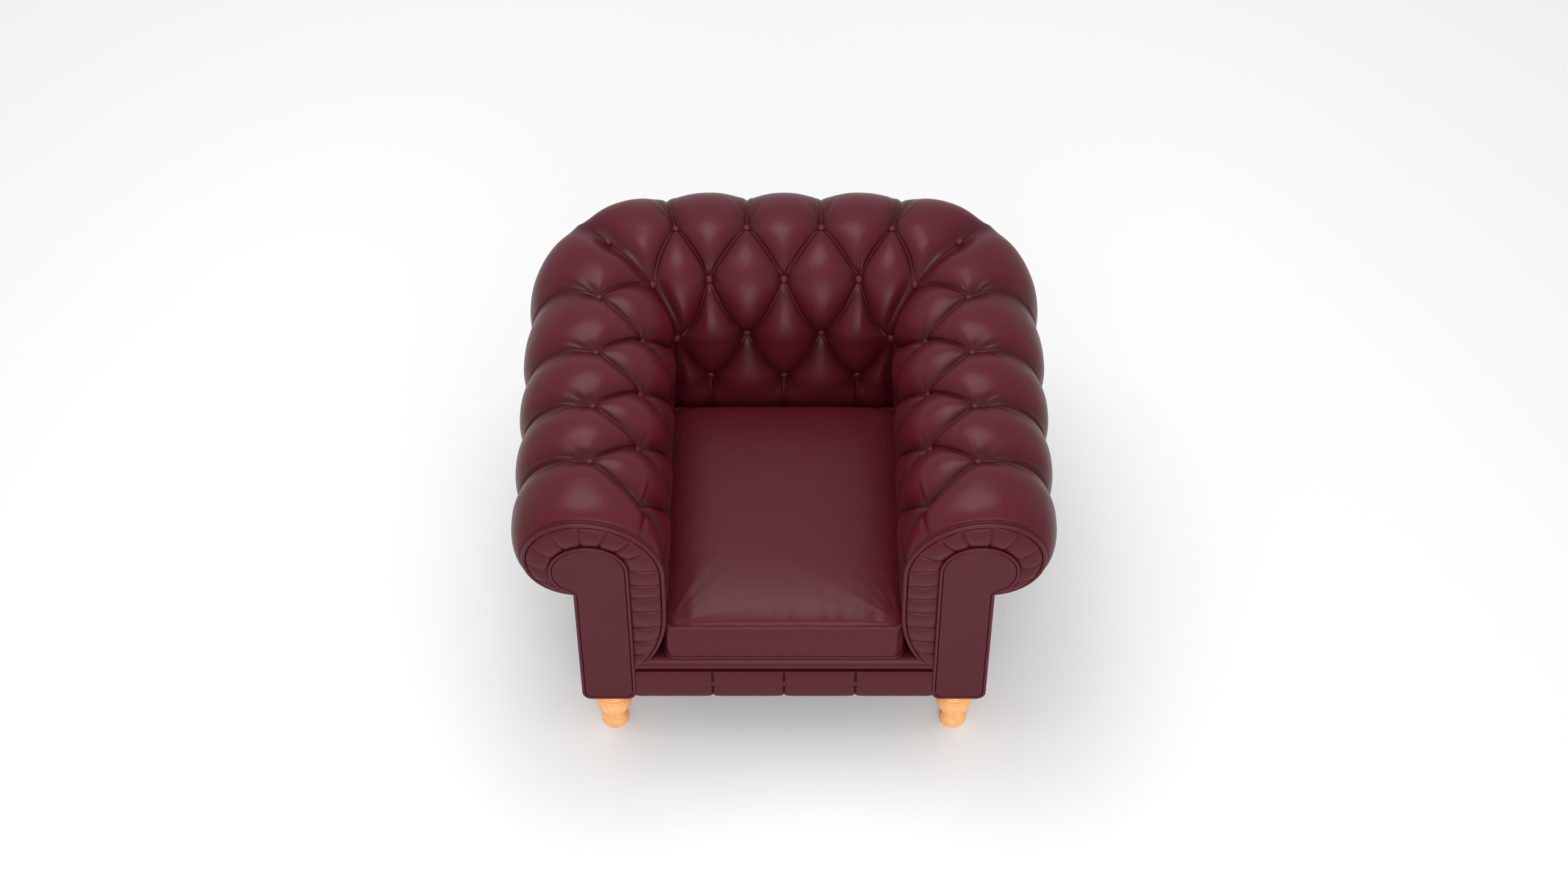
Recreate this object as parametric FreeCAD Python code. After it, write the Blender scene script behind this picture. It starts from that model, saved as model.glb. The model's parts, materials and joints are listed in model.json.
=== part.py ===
import FreeCAD, Part
import math
import os

# Deep-buttoned armchair with arms and back of one height, all rolled over outwards.
# Millimetres, +Z up, the front faces -Y. Depths are counted back from the plane of the
# two front facings and turned into Y at the very end by front_y.

V = FreeCAD.Vector
os.makedirs("parts", exist_ok=True)

# Driving sizes of the seat and the carcass
leg_height = 144.0
seat_half_width = 244.0
arm_shoulder = 165.0
back_roll_centre = 840.0
back_wall = 664.0
scroll_radius = 110.0
scroll_centre_z = 606.0
back_lean = 0.14
wall_flare_radius = 480.0
wall_flare_z = 470.0
pad_lift = 15.0
seam_angle = -82.0

# Driving sizes of the buttoning
lobe_rise = 27.0
pleat_rise = 17.0
net_depth = 7.0
button_rise = 13.0
roll_facets = 8
hem_rise = 2.0
back_hem_rise = 16.0
hem_share = 0.3
arm_pitch = 146.5
first_arm_column = 168.0
arm_columns = 4
back_pitch = 160.0
back_column_turn = 83.5
arm_buttoned_rows = 3.0
back_buttoned_rows = 4.0
row_1_angle = 97.0
row_2_angle = 132.0
row_3_angle = 176.0
row_4_z = 433.0
button_radius = 8.5
button_rim = 2.5
button_dome = 3.0
button_sides = 8
button_lift = 2.5
arm_end_button_lift = 2.7
roll_end_button_lift = 3.5
corner_button_lifts = (1.9, 7.2, 34.9)
corner_button_growth = 46.0
corner_hem_growth = 8.0
corner_roll_growth = 14.0

# Driving sizes of the timber, boards and cloth
timber = 32.0
frame_overhang = 9.0
arm_frame_width = 116.0
seat_rail_height = 80.0
top_board = 30.0
top_board_drop = 154.0
post_side = 46.0
panel_thickness = 5.0
board_thickness = 9.0
fan_thickness = 9.0
tack_rail_height = 50.0
tack_rail_thickness = 22.0
strap_width = 50.0
strap_thickness = 1.5
strap_count_across = 6
strap_count_along = 4
deck_height = 37.0
dust_cloth = 1.5
dust_turn = 40.0

# Driving sizes of the front
facing_width = 100.0
facing_head_radius = 73.5
facing_hook_angle = -32.0
facing_head_z = 575.0
facing_proud = 7.0
facing_corner = 14.0
scroll_welt_radius = 4.5
facing_welt_radius = 3.5
band_height = 86.0
band_pleat_count = 3
band_pitch = 132.0
band_button_radius = 7.0
fan_count_round = 10
fan_count_down = 8
fan_start_angle = -34.0
fan_end_angle = 178.0

# Driving sizes of the loose cushion
cushion_welt_radius = 4.0
cushion_border = 103.0
cushion_depth = 600.0
cushion_crown = 23.0
cushion_draw_in = 3.0
cushion_corner = 26.0
cushion_side_gap = 2.0
wrap_thickness = 22.0

# Driving sizes of the turned feet
foot_inset = 54.6
foot_depth = 42.0
rear_foot_inset = 90.0
rear_foot_set_in = 127.0
foot_bulb_radius = 38.0
foot_bulb_z = 76.0
block_foot_top = 58.0
block_foot_base = 42.0
block_foot_rake = 14.0
foot_bulb_half = 18.0
foot_base_radius = 27.0
foot_neck_radius = 23.0
foot_collar_radius = 34.0
glide_height = 3.0
glide_radius = 15.0
bolt_radius = 4.0
bolt_length = 70.0

# Clearances between pieces that nearly touch
soft_gap = 0.4
cloth_gap = 0.5

# Sizes worked out from the ones above
arm_roll_centre = seat_half_width + arm_shoulder
roll_top_z = scroll_centre_z + scroll_radius
arm_frame_outer = arm_roll_centre + frame_overhang
arm_frame_inner = arm_frame_outer - arm_frame_width
back_frame_outer = back_roll_centre + frame_overhang
back_frame_inner = back_frame_outer - arm_frame_width - timber
rail_bottom_z = leg_height + 6.0
rail_top_z = rail_bottom_z + seat_rail_height
top_board_z = roll_top_z - top_board_drop
pad_bottom_z = rail_top_z + pad_lift
foot_x = arm_frame_outer - foot_inset
rear_foot_x = arm_frame_outer - rear_foot_inset
rear_foot_depth = back_frame_outer - rear_foot_set_in
web_z = rail_top_z + 2 * strap_thickness
seam_z = scroll_centre_z + scroll_radius * math.sin(math.radians(seam_angle))
pivot_x = seat_half_width - lobe_rise - 2.0
pivot_depth = first_arm_column + (arm_columns - 1) * arm_pitch - 2.0
half_pitch = arm_pitch / 2
back_half_pitch = back_pitch / 2
front_extent = facing_proud + 1.0
rear_extent = back_roll_centre + scroll_radius + lobe_rise
front_y = -(front_extent + rear_extent) / 2 + front_extent
board_back = fan_thickness / 2 + board_thickness
facing_inner = arm_frame_outer - facing_width
facing_head_x = facing_inner + facing_head_radius
cushion_half_width = seat_half_width + cushion_side_gap
cushion_bottom_z = web_z + deck_height + cushion_welt_radius + soft_gap
cushion_top_z = cushion_bottom_z + cushion_border
first_strap_depth = board_back + timber + 30.0
last_strap_depth = pivot_depth - 20.0
corner_arc = arm_frame_outer - pivot_x
corner_turn_depth = back_frame_outer - corner_arc


def at(x, depth, z):
    """Point at width x, depth behind the facings and height z."""
    return V(x, front_y + depth, z)


def export(shape, name):
    """Write one sub-part under its own name."""
    shape.exportStep("parts/%s.step" % name)


def mirrored(shape):
    """The same piece on the other side of the chair."""
    return shape.mirror(V(0, 0, 0), V(1, 0, 0))


def export_pair(shape, name):
    """Write the right-hand piece as modelled and its mirror image."""
    export(shape, name + "_right")
    export(mirrored(shape), name + "_left")


def box(x0, x1, depth0, depth1, z0, z1):
    """Box between two widths, two depths and two heights."""
    return Part.makeBox(x1 - x0, depth1 - depth0, z1 - z0, at(x0, depth0, z0))


def mix(a, b, t):
    """Value part of the way from a to b."""
    return a + (b - a) * t


def ease(t):
    """Smooth step from 0 to 1."""
    t = min(max(t, 0.0), 1.0)
    return t * t * (3.0 - 2.0 * t)


def edge_through(a, mid, b):
    """Arc through three points, or a line where they lie straight."""
    chord = b - a
    sag = (mid - a).cross(chord).Length / chord.Length
    if sag < 0.05:
        return Part.LineSegment(a, b).toShape()
    return Part.Arc(a, mid, b).toShape()


def polygon_edges(points):
    """Straight edges from point to point."""
    return [Part.LineSegment(a, b).toShape() for a, b in zip(points, points[1:])]


def facet(*corners):
    """Flat face through three corners."""
    return Part.Face(Part.Wire(polygon_edges(list(corners) + [corners[0]])))


def valley_folds(near, far, side, core):
    """Two facets between sections, folded along the diagonal that lies deeper."""
    a, b = near[side], near[(side + 1) % len(near)]
    c, d = far[(side + 1) % len(far)], far[side]
    if ((a + c) / 2 - core).Length < ((b + d) / 2 - core).Length:
        return [facet(a, b, c), facet(a, c, d)]
    return [facet(b, c, d), facet(b, d, a)]


def folded(sections, ring=False):
    """Closed solid of flat facets through sections, which may meet in a ring."""
    faces = []
    for near, far in zip(sections, sections[1:] + (sections[:1] if ring else [])):
        core = sum(near + far, V(0, 0, 0)) / (2 * len(near))
        for side in range(len(near)):
            faces += valley_folds(near, far, side, core)
    if not ring:
        faces += [Part.Face(Part.Wire(polygon_edges(end + end[:1]))) for end in (sections[0], sections[-1])]
    shell = Part.Shell(faces)
    solid = Part.Solid(shell)
    if solid.Volume < 0:
        solid.reverse()
    return solid


def wall_offset(z, leans):
    """How far the inner wall stands off its upright line at height z."""
    if leans:
        return -back_lean * max(back_shoulder_z - z, 0.0)
    return max(wall_flare_z - z, 0.0) ** 2 / (2.0 * wall_flare_radius)


back_shoulder_z = roll_top_z - (back_roll_centre - back_wall)


def outline(v, centre, wall, leans):
    """Bare outline of a rolled section at row v: place, height and outward normal.

    Row 0 is the seam under the roll, rows 1 to 4 hold the buttons and row 5 is the
    hem beside the deck. The outside is one circle, the inside a larger quarter
    circle, and below row 3 a wall that leans on the back and flares on the arms.
    """
    shoulder = centre - wall
    shoulder_z = roll_top_z - shoulder
    if v <= 1.0:
        angle = mix(seam_angle, row_1_angle, v)
    elif v <= 2.0:
        angle = mix(row_1_angle, row_2_angle, v - 1.0)
    else:
        angle = mix(row_2_angle, row_3_angle, min(v - 2.0, 1.0))
    turn = math.radians(angle)
    normal = (math.cos(turn), math.sin(turn))
    if angle <= 90.0:
        return centre + scroll_radius * normal[0], scroll_centre_z + scroll_radius * normal[1], normal
    place = centre + shoulder * normal[0]
    z = shoulder_z + shoulder * normal[1]
    if v > 3.0:
        z = mix(z, row_4_z, v - 3.0) if v <= 4.0 else mix(row_4_z, pad_bottom_z, v - 4.0)
        place = wall + wall_offset(z, leans)
        normal = (-1.0, 0.0)
    return place, z, normal


def to_odd(value):
    """Distance of a value from the nearest odd whole number, 0 to 1."""
    return abs((value % 2.0) - 1.0)


def pleat_distance(u, v):
    """How far a point of the diamond net lies from the nearest pleat, 0 to 1.

    Even columns hold buttons in the odd rows and odd columns in the even rows. Above
    row 1 straight pleats run over the roll, and below row 4 they drop to the hem.
    """
    if v <= 1.0:
        return 1.0 - to_odd(u)
    if v >= 4.0:
        return to_odd(u)
    return min(to_odd(u - v), to_odd(u + v))


def rise(u, v, buttoned_rows, mitred):
    """Height of the padding over the bare outline at column u and row v.

    Over the roll the pleats are cut to pleat_rise. Inside, the net is shallower, each
    button is drawn in to button_rise, and below the buttoned rows the cloth is plain.
    """
    away = 0.0 if mitred else pleat_distance(u, v)
    if v < 1.0:
        return mix(soft_gap, mix(pleat_rise, lobe_rise, away), ease(v / 0.3))
    height = lobe_rise - net_depth * (1.0 - away)
    if v == int(v) and away == 0.0:
        height = button_rise
    plain = min(max(v - buttoned_rows, 0.0) / 0.5, 1.0)
    height = mix(height, lobe_rise - net_depth / 2, plain)
    hem = min(max(v - 4.0, 0.0) / hem_share, 1.0)
    return mix(height, hem_rise, hem) if buttoned_rows < 4 else mix(height, back_hem_rise, hem)


def corner_growth(v):
    """How much further from the corner's pivot a row lies on the diagonal."""
    if v <= 1.0:
        return mix(corner_roll_growth, corner_button_growth, ease((v - 0.5) * 2.0))
    return mix(corner_button_growth, corner_hem_growth, min((v - 1.0) / 3.0, 1.0))


def turn_shares(turn):
    """Shares of arm, back and diagonal in a section turned this far round the corner."""
    angle = math.radians(turn)
    return math.cos(angle) ** 2, math.sin(angle) ** 2, math.sin(2.0 * angle) ** 2


def placed(turn, along, reach, z):
    """Point of a section: turn 0 stands on the arm at depth along, 90 on the back at
    width along, and in between it swings about the corner's pivot."""
    if turn == 0.0:
        return at(pivot_x + reach, along, z)
    if turn == 90.0:
        return at(along, pivot_depth + reach, z)
    angle = math.radians(turn)
    return at(pivot_x + reach * math.cos(angle), pivot_depth + reach * math.sin(angle), z)


def pad_point(turn, along, u, v, fullness=1.0):
    """Surface point of the buttoned padding at column u and row v."""
    arm, back, diagonal = turn_shares(turn)
    arm_place, arm_z, arm_normal = outline(v, arm_roll_centre, seat_half_width, False)
    back_place, back_z, back_normal = outline(v, back_roll_centre, back_wall, True)
    mitred = turn == 45.0
    arm_rise = rise(u, v, arm_buttoned_rows, mitred) * fullness
    back_rise = rise(u, v, back_buttoned_rows, mitred) * fullness
    reach = arm * (arm_place + arm_rise * arm_normal[0] - pivot_x)
    reach += back * (back_place + back_rise * back_normal[0] - pivot_depth)
    reach += diagonal * corner_growth(v)
    z = arm * (arm_z + arm_rise * arm_normal[1]) + back * (back_z + back_rise * back_normal[1])
    return placed(turn, along, reach, z)


def frame_reach(turn):
    """Inner and outer faces of the carcass, measured from the corner's pivot."""
    angle = math.radians(turn)
    cosine, sine = max(math.cos(angle), 1e-9), max(math.sin(angle), 1e-9)
    inner = min((arm_frame_inner - pivot_x) / cosine, (back_frame_inner - pivot_depth) / sine)
    side = (arm_frame_outer - pivot_x) / cosine
    centre = corner_turn_depth - pivot_depth
    round_side = centre * sine + math.sqrt(corner_arc ** 2 - (centre * cosine) ** 2)
    outer = side if side * sine < centre else round_side
    return inner, outer


def pad_section(turn, along, u, fullness=1.0):
    """Corners of a pad's section: buttoned outside, straight sides on the frame."""
    rows = [k / roll_facets for k in range(roll_facets)] + [1.0 + k / 2.0 for k in range(7)] + [4.0 + hem_share, 5.0]
    points = [pad_point(turn, along, u, v, fullness) for v in rows]
    inner, outer = frame_reach(turn)
    top = top_board_z + top_board
    for reach, z in ((inner, pad_bottom_z), (inner, top), (outer, top), (outer, seam_z)):
        points.append(placed(turn, along, reach, z))
    return points


def arm_pad():
    """Right arm's padding, from the front board to the corner pleat."""
    last = 2.0 * (arm_columns - 1)
    sections = [pad_section(0.0, board_back, -1.7, 0.35), pad_section(0.0, board_back + 26.0, -1.4, 0.85)]
    for k in range(-2, int(2 * last)):
        u = k / 2.0
        sections.append(pad_section(0.0, first_arm_column + u * half_pitch, u))
    sections.append(pad_section(0.0, pivot_depth, last))
    for turn, u in ((22.5, last + 0.6), (45.0, last)):
        sections.append(pad_section(turn, pivot_depth, u))
    return folded(sections)


def back_pad():
    """Back's padding between the two corner pleats."""
    side = [(45.0, 2.0), (64.0, 1.4), (back_column_turn, 2.0), (90.0, 1.7)]
    half = [pad_section(turn, pivot_x, u) for turn, u in side]
    middle = []
    quarters = int(pivot_x / (back_half_pitch / 2.0))
    for k in range(quarters, -quarters - 1, -1):
        middle.append(pad_section(90.0, k * back_half_pitch / 2.0, k / 2.0 + 1.0))
    other = [[V(-p.x, p.y, p.z) for p in section] for section in reversed(half)]
    return folded(half + middle + other)


def regular_ring(radius, sides, centre, direction):
    """Regular polygon of so many sides, square to a direction."""
    turned = FreeCAD.Rotation(V(0, 0, 1), direction)
    points = []
    for k in range(sides):
        angle = 2.0 * math.pi * (k + 0.5) / sides
        points.append(centre + turned.multVec(V(radius * math.cos(angle), radius * math.sin(angle), 0)))
    return points


def stations_along(edges):
    """Points along edges in their order: ends of lines, and steps round the arcs."""
    points = []
    for edge in edges:
        straight = isinstance(edge.Curve, (Part.Line, Part.LineSegment))
        steps = 2 if straight else 3 + int(edge.Length / 26.0)
        points += edge.discretize(steps)[:-1]
    return points, edges[-1].discretize(2)[-1]


def bead(edges, flat, radius):
    """Piping of six facets along edges that lie in one plane, whose normal is flat."""
    points, last = stations_along(edges)
    closed = (last - points[0]).Length < 0.01
    if not closed:
        points.append(last)
    rings = []
    count = len(points)
    for k, point in enumerate(points):
        before = points[k - 1] if closed or k else point
        after = points[(k + 1) % count] if closed or k < count - 1 else point
        heading = (after - before).normalize()
        side = heading.cross(flat)
        turns = [2.0 * math.pi * (n + 0.5) / 6 for n in range(6)]
        rings.append([point + side * (radius * math.cos(t)) + flat * (radius * math.sin(t)) for t in turns])
    return folded(rings, closed)


def button_at(turn, along, u, v, lift=button_lift):
    """Covered button seated on the padding at column u and row v."""
    seat = pad_point(turn, along, u, v)
    slope = outline(v, arm_roll_centre, seat_half_width, False)[2]
    heading = math.radians(turn)
    normal = V(slope[0] * math.cos(heading), slope[0] * math.sin(heading), slope[1])
    foot = seat + normal * lift
    rings = [regular_ring(button_radius, button_sides, foot, normal),
             regular_ring(button_radius, button_sides, foot + normal * button_rim, normal),
             regular_ring(button_radius * 0.55, button_sides, foot + normal * (button_rim + button_dome), normal)]
    return folded(rings)


def arm_buttons():
    """Covered buttons of the right arm."""
    last = arm_columns - 1
    buttons = [button_at(0.0, first_arm_column + k * arm_pitch, 2.0 * k, 1.0) for k in range(last)]
    buttons.append(button_at(0.0, pivot_depth, 2.0 * last, 1.0, arm_end_button_lift))
    for k in range(-1, last):
        depth = first_arm_column + (k + 0.5) * arm_pitch
        buttons.append(button_at(0.0, depth, 2.0 * k + 1.0, 2.0))
    return Part.makeCompound(buttons)


def back_buttons():
    """Covered buttons of the back."""
    buttons = []
    for row in (1.0, 2.0, 3.0, 4.0):
        odd = row % 2.0 == 1.0
        for place in ([-0.5, 0.5] if odd else [-1.0, 0.0, 1.0]):
            buttons.append(button_at(90.0, place * back_pitch, 0.0 if odd else 1.0, row))
    beside_corner = button_at(back_column_turn, pivot_x, 2.0, 1.0, roll_end_button_lift)
    return Part.makeCompound(buttons + [beside_corner, mirrored(beside_corner)])


def corner_buttons():
    """Buttons on the corner pleats, where arm and back meet."""
    right = [button_at(45.0, pivot_x, 2.0, 1.0 + k, lift) for k, lift in enumerate(corner_button_lifts)]
    return Part.makeCompound(right + [mirrored(button) for button in right])


def front_outline(v, inset):
    """Point of the arm's front outline, moved inwards by inset."""
    x, z, normal = outline(v, arm_roll_centre, seat_half_width, False)
    return x - inset * normal[0], z - inset * normal[1]


def outline_edges(depth, inset, v_end):
    """Arcs and lines along the front outline, from the seam to row v_end."""
    def point(v):
        x, z = front_outline(v, inset)
        return at(x, depth, z)
    crown = (90.0 - seam_angle) / (row_1_angle - seam_angle)
    side = 0.5 * crown
    spans = [(0.0, side / 2, side), (side, 1.5 * side, crown), (crown, 1.5, 2.0), (2.0, 2.5, 3.0)]
    edges = [edge_through(point(a), point(b), point(c)) for a, b, c in spans]
    flare = 3.0
    x, z = front_outline(3.0, inset)
    top = at(x, depth, z)
    flare_v = 3.0 + (z - wall_flare_z) / (z - row_4_z)
    edges.append(Part.LineSegment(top, point(flare_v)).toShape())
    edges.append(edge_through(point(flare_v), point(mix(flare_v, v_end, 0.5)), point(v_end)))
    return edges


def scroll_board():
    """Plywood board behind the fan: the front outline with the leg of the arm below."""
    hem_v = 4.999
    edges = outline_edges(board_back, scroll_welt_radius + cloth_gap, hem_v)
    x, z = front_outline(hem_v, scroll_welt_radius + cloth_gap)
    hem = at(x, board_back, z)
    seam = at(*[front_outline(0.0, scroll_welt_radius + cloth_gap)[0], board_back,
                front_outline(0.0, scroll_welt_radius + cloth_gap)[1]])
    leg = facing_inner - 2 * (facing_welt_radius + cloth_gap) + cloth_gap
    legs = [hem, at(leg, board_back, z), at(leg, board_back, rail_bottom_z),
            at(arm_frame_outer, board_back, rail_bottom_z), at(arm_frame_outer, board_back, seam.z), seam]
    face = Part.Face(Part.Wire(edges + polygon_edges(legs)))
    return face.extrude(V(0, -board_thickness, 0))


def scroll_welt():
    """Piped seam along the edge of the arm's front."""
    edges = outline_edges(scroll_welt_radius, 0.0, 4.9)
    return bead(edges, V(0, 1, 0), scroll_welt_radius)


def facing_edges(depth, grow):
    """Outline of the flat facing: a leg with a round head that hooks outwards."""
    radius = facing_head_radius + grow
    inner = facing_inner - grow
    outer = arm_frame_outer + grow
    bottom = leg_height + 2.0 - grow
    hook = math.radians(facing_hook_angle)
    corner = facing_corner
    lean = corner * (1.0 - math.sqrt(0.5))
    throat_z = facing_head_z - facing_head_radius * 0.68 - grow

    def head(angle):
        return at(facing_head_x + radius * math.cos(angle), depth,
                  facing_head_z + radius * math.sin(angle))

    nose = head(hook)
    throat = at(outer, depth, throat_z - 8.0)
    top_turn = math.pi / 4
    edges = [edge_through(head(math.pi), head((math.pi + top_turn) / 2), head(top_turn)),
             edge_through(head(top_turn), head((top_turn + hook) / 2), nose),
             edge_through(nose, at(mix(nose.x, outer, 0.6), depth, throat_z), throat),
             Part.LineSegment(throat, at(outer, depth, bottom + corner)).toShape(),
             edge_through(at(outer, depth, bottom + corner), at(outer - lean, depth, bottom + lean),
                          at(outer - corner, depth, bottom)),
             Part.LineSegment(at(outer - corner, depth, bottom), at(inner + corner, depth, bottom)).toShape(),
             edge_through(at(inner + corner, depth, bottom), at(inner + lean, depth, bottom + lean),
                          at(inner, depth, bottom + corner)),
             Part.LineSegment(at(inner, depth, bottom + corner), head(math.pi)).toShape()]
    return edges


def facing():
    """Flat leather-covered facing with a softened edge."""
    back = fan_thickness / 2
    return Part.Face(Part.Wire(facing_edges(back, 0.0))).extrude(V(0, -back - facing_proud + 1.0, 0))


def facing_welt():
    """Piping round the facing."""
    reach = facing_welt_radius + cloth_gap
    depth = facing_welt_radius - facing_proud
    return bead(facing_edges(depth, reach), V(0, 1, 0), facing_welt_radius)


def fan_section(v, inner, ridge):
    """Corners of one section of the pleated border, from the outer welt inwards."""
    x, z = front_outline(v, scroll_welt_radius + cloth_gap)
    back = fan_thickness / 2
    proud = -facing_proud + 1.5 if ridge else -1.5
    middle = at((x + inner[0]) / 2, proud, (z + inner[1]) / 2)
    return [at(x, 0.5, z), middle, at(inner[0], 1.5, inner[1]), at(inner[0], back, inner[1]), at(x, back, z)]


def fan():
    """Gathered leather round the scroll and down the inside of the facing."""
    grow = 2 * facing_welt_radius + 2 * cloth_gap
    radius = facing_head_radius + grow
    inner_x = facing_inner - grow
    stations = []
    steps = 2 * fan_count_round
    for k in range(steps + 1):
        v = mix(0.03, 2.95, k / steps)
        angle = math.radians(mix(fan_start_angle, fan_end_angle, k / steps))
        stations.append((v, (facing_head_x + radius * math.cos(angle),
                             facing_head_z + radius * math.sin(angle))))
    steps = 2 * fan_count_down
    for k in range(1, steps + 1):
        v = mix(2.95, 4.93, k / steps)
        z = mix(facing_head_z, front_outline(4.93, 0.0)[1] + 1.0, k / steps)
        stations.append((v, (inner_x, z)))
    return folded([fan_section(v, inner, k % 2 == 1) for k, (v, inner) in enumerate(stations)])


def seat_rails():
    """Four seat rails, two rear corner rails and the glued corner blocks."""
    front = box(-arm_frame_outer + timber, arm_frame_outer - timber, board_back, board_back + timber,
                rail_bottom_z, rail_top_z)
    export(front, "seat_rail_front")
    side_end = corner_turn_depth
    side = box(arm_frame_outer - timber, arm_frame_outer, board_back, side_end, rail_bottom_z, rail_top_z)
    export_pair(side, "seat_rail")
    back_half = pivot_x + corner_arc * 0.2
    back_depth = back_frame_outer - 18.0
    rear = box(-back_half, back_half, back_depth - timber, back_depth, rail_bottom_z, rail_top_z)
    export(rear, "seat_rail_back")
    corners = [at(arm_frame_outer, side_end, rail_bottom_z), at(arm_frame_outer - timber, side_end, rail_bottom_z),
               at(back_half, back_depth - timber, rail_bottom_z), at(back_half, back_depth, rail_bottom_z)]
    face = Part.Face(Part.Wire(polygon_edges(corners + corners[:1])))
    export_pair(face.extrude(V(0, 0, seat_rail_height)), "seat_corner_rail")
    block = corner_block(arm_frame_outer - timber, board_back + timber, -1.0, 1.0)
    blocks = [block, mirrored(block)]
    export(Part.makeCompound(blocks), "corner_blocks")


def corner_block(x, depth, x_way, depth_way):
    """Three-cornered block glued into the corner of two rails."""
    side = 84.0
    corners = [at(x, depth, rail_bottom_z), at(x + x_way * side, depth, rail_bottom_z),
               at(x, depth + depth_way * side, rail_bottom_z)]
    face = Part.Face(Part.Wire(polygon_edges(corners + corners[:1])))
    return face.extrude(V(0, 0, seat_rail_height * 0.7))


def upper_frame():
    """Posts, top boards and tack rails that carry the padding."""
    post_top = top_board_z
    front_post = box(arm_frame_inner, arm_frame_outer, board_back, board_back + timber, rail_top_z, post_top)
    export_pair(front_post, "front_post")
    rear_post = box(arm_frame_inner + 2.0, arm_frame_inner + 2.0 + post_side, back_frame_inner + 2.0,
                    back_frame_inner + 2.0 + post_side, rail_top_z, post_top)
    export_pair(rear_post, "rear_post")
    arm_board = box(arm_frame_inner, arm_frame_outer, board_back, pivot_depth, top_board_z,
                    top_board_z + top_board)
    export_pair(arm_board, "arm_top_board")
    back_board = box(-pivot_x, pivot_x, back_frame_inner, back_frame_outer, top_board_z,
                     top_board_z + top_board)
    export(back_board, "back_top_board")
    export_pair(corner_gusset(), "corner_gusset")
    tack_z = pad_bottom_z
    arm_tack = box(arm_frame_inner, arm_frame_inner + tack_rail_thickness, board_back + timber,
                   back_frame_inner, tack_z, tack_z + tack_rail_height)
    export_pair(arm_tack, "arm_tack_rail")
    back_tack = box(-arm_frame_inner, arm_frame_inner, back_frame_inner,
                    back_frame_inner + tack_rail_thickness, tack_z, tack_z + tack_rail_height)
    export(back_tack, "back_tack_rail")
    back_depth = back_frame_outer - 18.0
    between_straps = (pivot_x - strap_width) * (strap_count_along - 2) / (strap_count_along - 1)
    upright = box(between_straps - post_side / 2, between_straps + post_side / 2, back_depth - timber, back_depth,
                  rail_top_z, post_top)
    export(Part.makeCompound([upright, mirrored(upright)]), "back_uprights")
    middle = (first_strap_depth + last_strap_depth) / 2
    arm_upright = box(arm_frame_outer - timber, arm_frame_outer, middle - post_side / 2, middle + post_side / 2,
                      rail_top_z, post_top)
    export_pair(arm_upright, "arm_upright")


def corner_gusset():
    """Rounded corner board that joins an arm's top board to the back's."""
    arm_reach = arm_frame_outer - pivot_x - 11.0
    back_reach = back_frame_outer - pivot_depth - 24.0
    diagonal = (arm_reach + back_reach) / 2 + 4.0
    low = top_board_z
    slope = diagonal * math.sqrt(0.5)
    round_side = Part.Arc(at(pivot_x + arm_reach, pivot_depth, low),
                          at(pivot_x + slope, pivot_depth + slope, low),
                          at(pivot_x, pivot_depth + back_reach, low)).toShape()
    corners = [at(pivot_x, pivot_depth + back_reach, low), at(pivot_x, back_frame_inner, low),
               at(arm_frame_inner, back_frame_inner, low), at(arm_frame_inner, pivot_depth, low),
               at(pivot_x + arm_reach, pivot_depth, low)]
    face = Part.Face(Part.Wire([round_side] + polygon_edges(corners)))
    return face.extrude(V(0, 0, top_board))


def webbing():
    """Two layers of webbing straps across and along the seat."""
    reach = arm_frame_outer - 8.0
    across = []
    for k in range(strap_count_across):
        depth = mix(first_strap_depth, last_strap_depth, k / (strap_count_across - 1))
        across.append(box(-reach, reach, depth - strap_width / 2, depth + strap_width / 2,
                          rail_top_z, rail_top_z + strap_thickness))
    export(Part.makeCompound(across), "webbing_across")
    along = []
    for k in range(strap_count_along):
        x = mix(-pivot_x + strap_width, pivot_x - strap_width, k / (strap_count_along - 1))
        along.append(box(x - strap_width / 2, x + strap_width / 2, board_back + 8.0,
                         back_frame_outer - 24.0, rail_top_z + strap_thickness, web_z))
    export(Part.makeCompound(along), "webbing_along")


def deck():
    """Sprung seat's cloth-covered platform and its rounded front lip."""
    half = front_outline(4.85, scroll_welt_radius + 2.0)[0] - 9.0
    lip_depth = 60.0
    platform = box(-half, half, lip_depth, cushion_depth, web_z, web_z + deck_height)
    export(platform, "seat_deck")
    low = leg_height + 2.0 + band_height + soft_gap
    high = web_z + deck_height
    front = -2.0
    top_start = at(-half, 22.0, high)
    profile = [edge_through(at(-half, front, low), at(-half, front + 4.5, mix(low, high, 0.72)), top_start)]
    back_corner = [top_start, at(-half, lip_depth, high), at(-half, lip_depth, web_z),
                   at(-half, board_back, web_z), at(-half, board_back, low), at(-half, front, low)]
    face = Part.Face(Part.Wire(profile + polygon_edges(back_corner)))
    export(face.extrude(V(2 * half, 0, 0)), "seat_lip")


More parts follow.
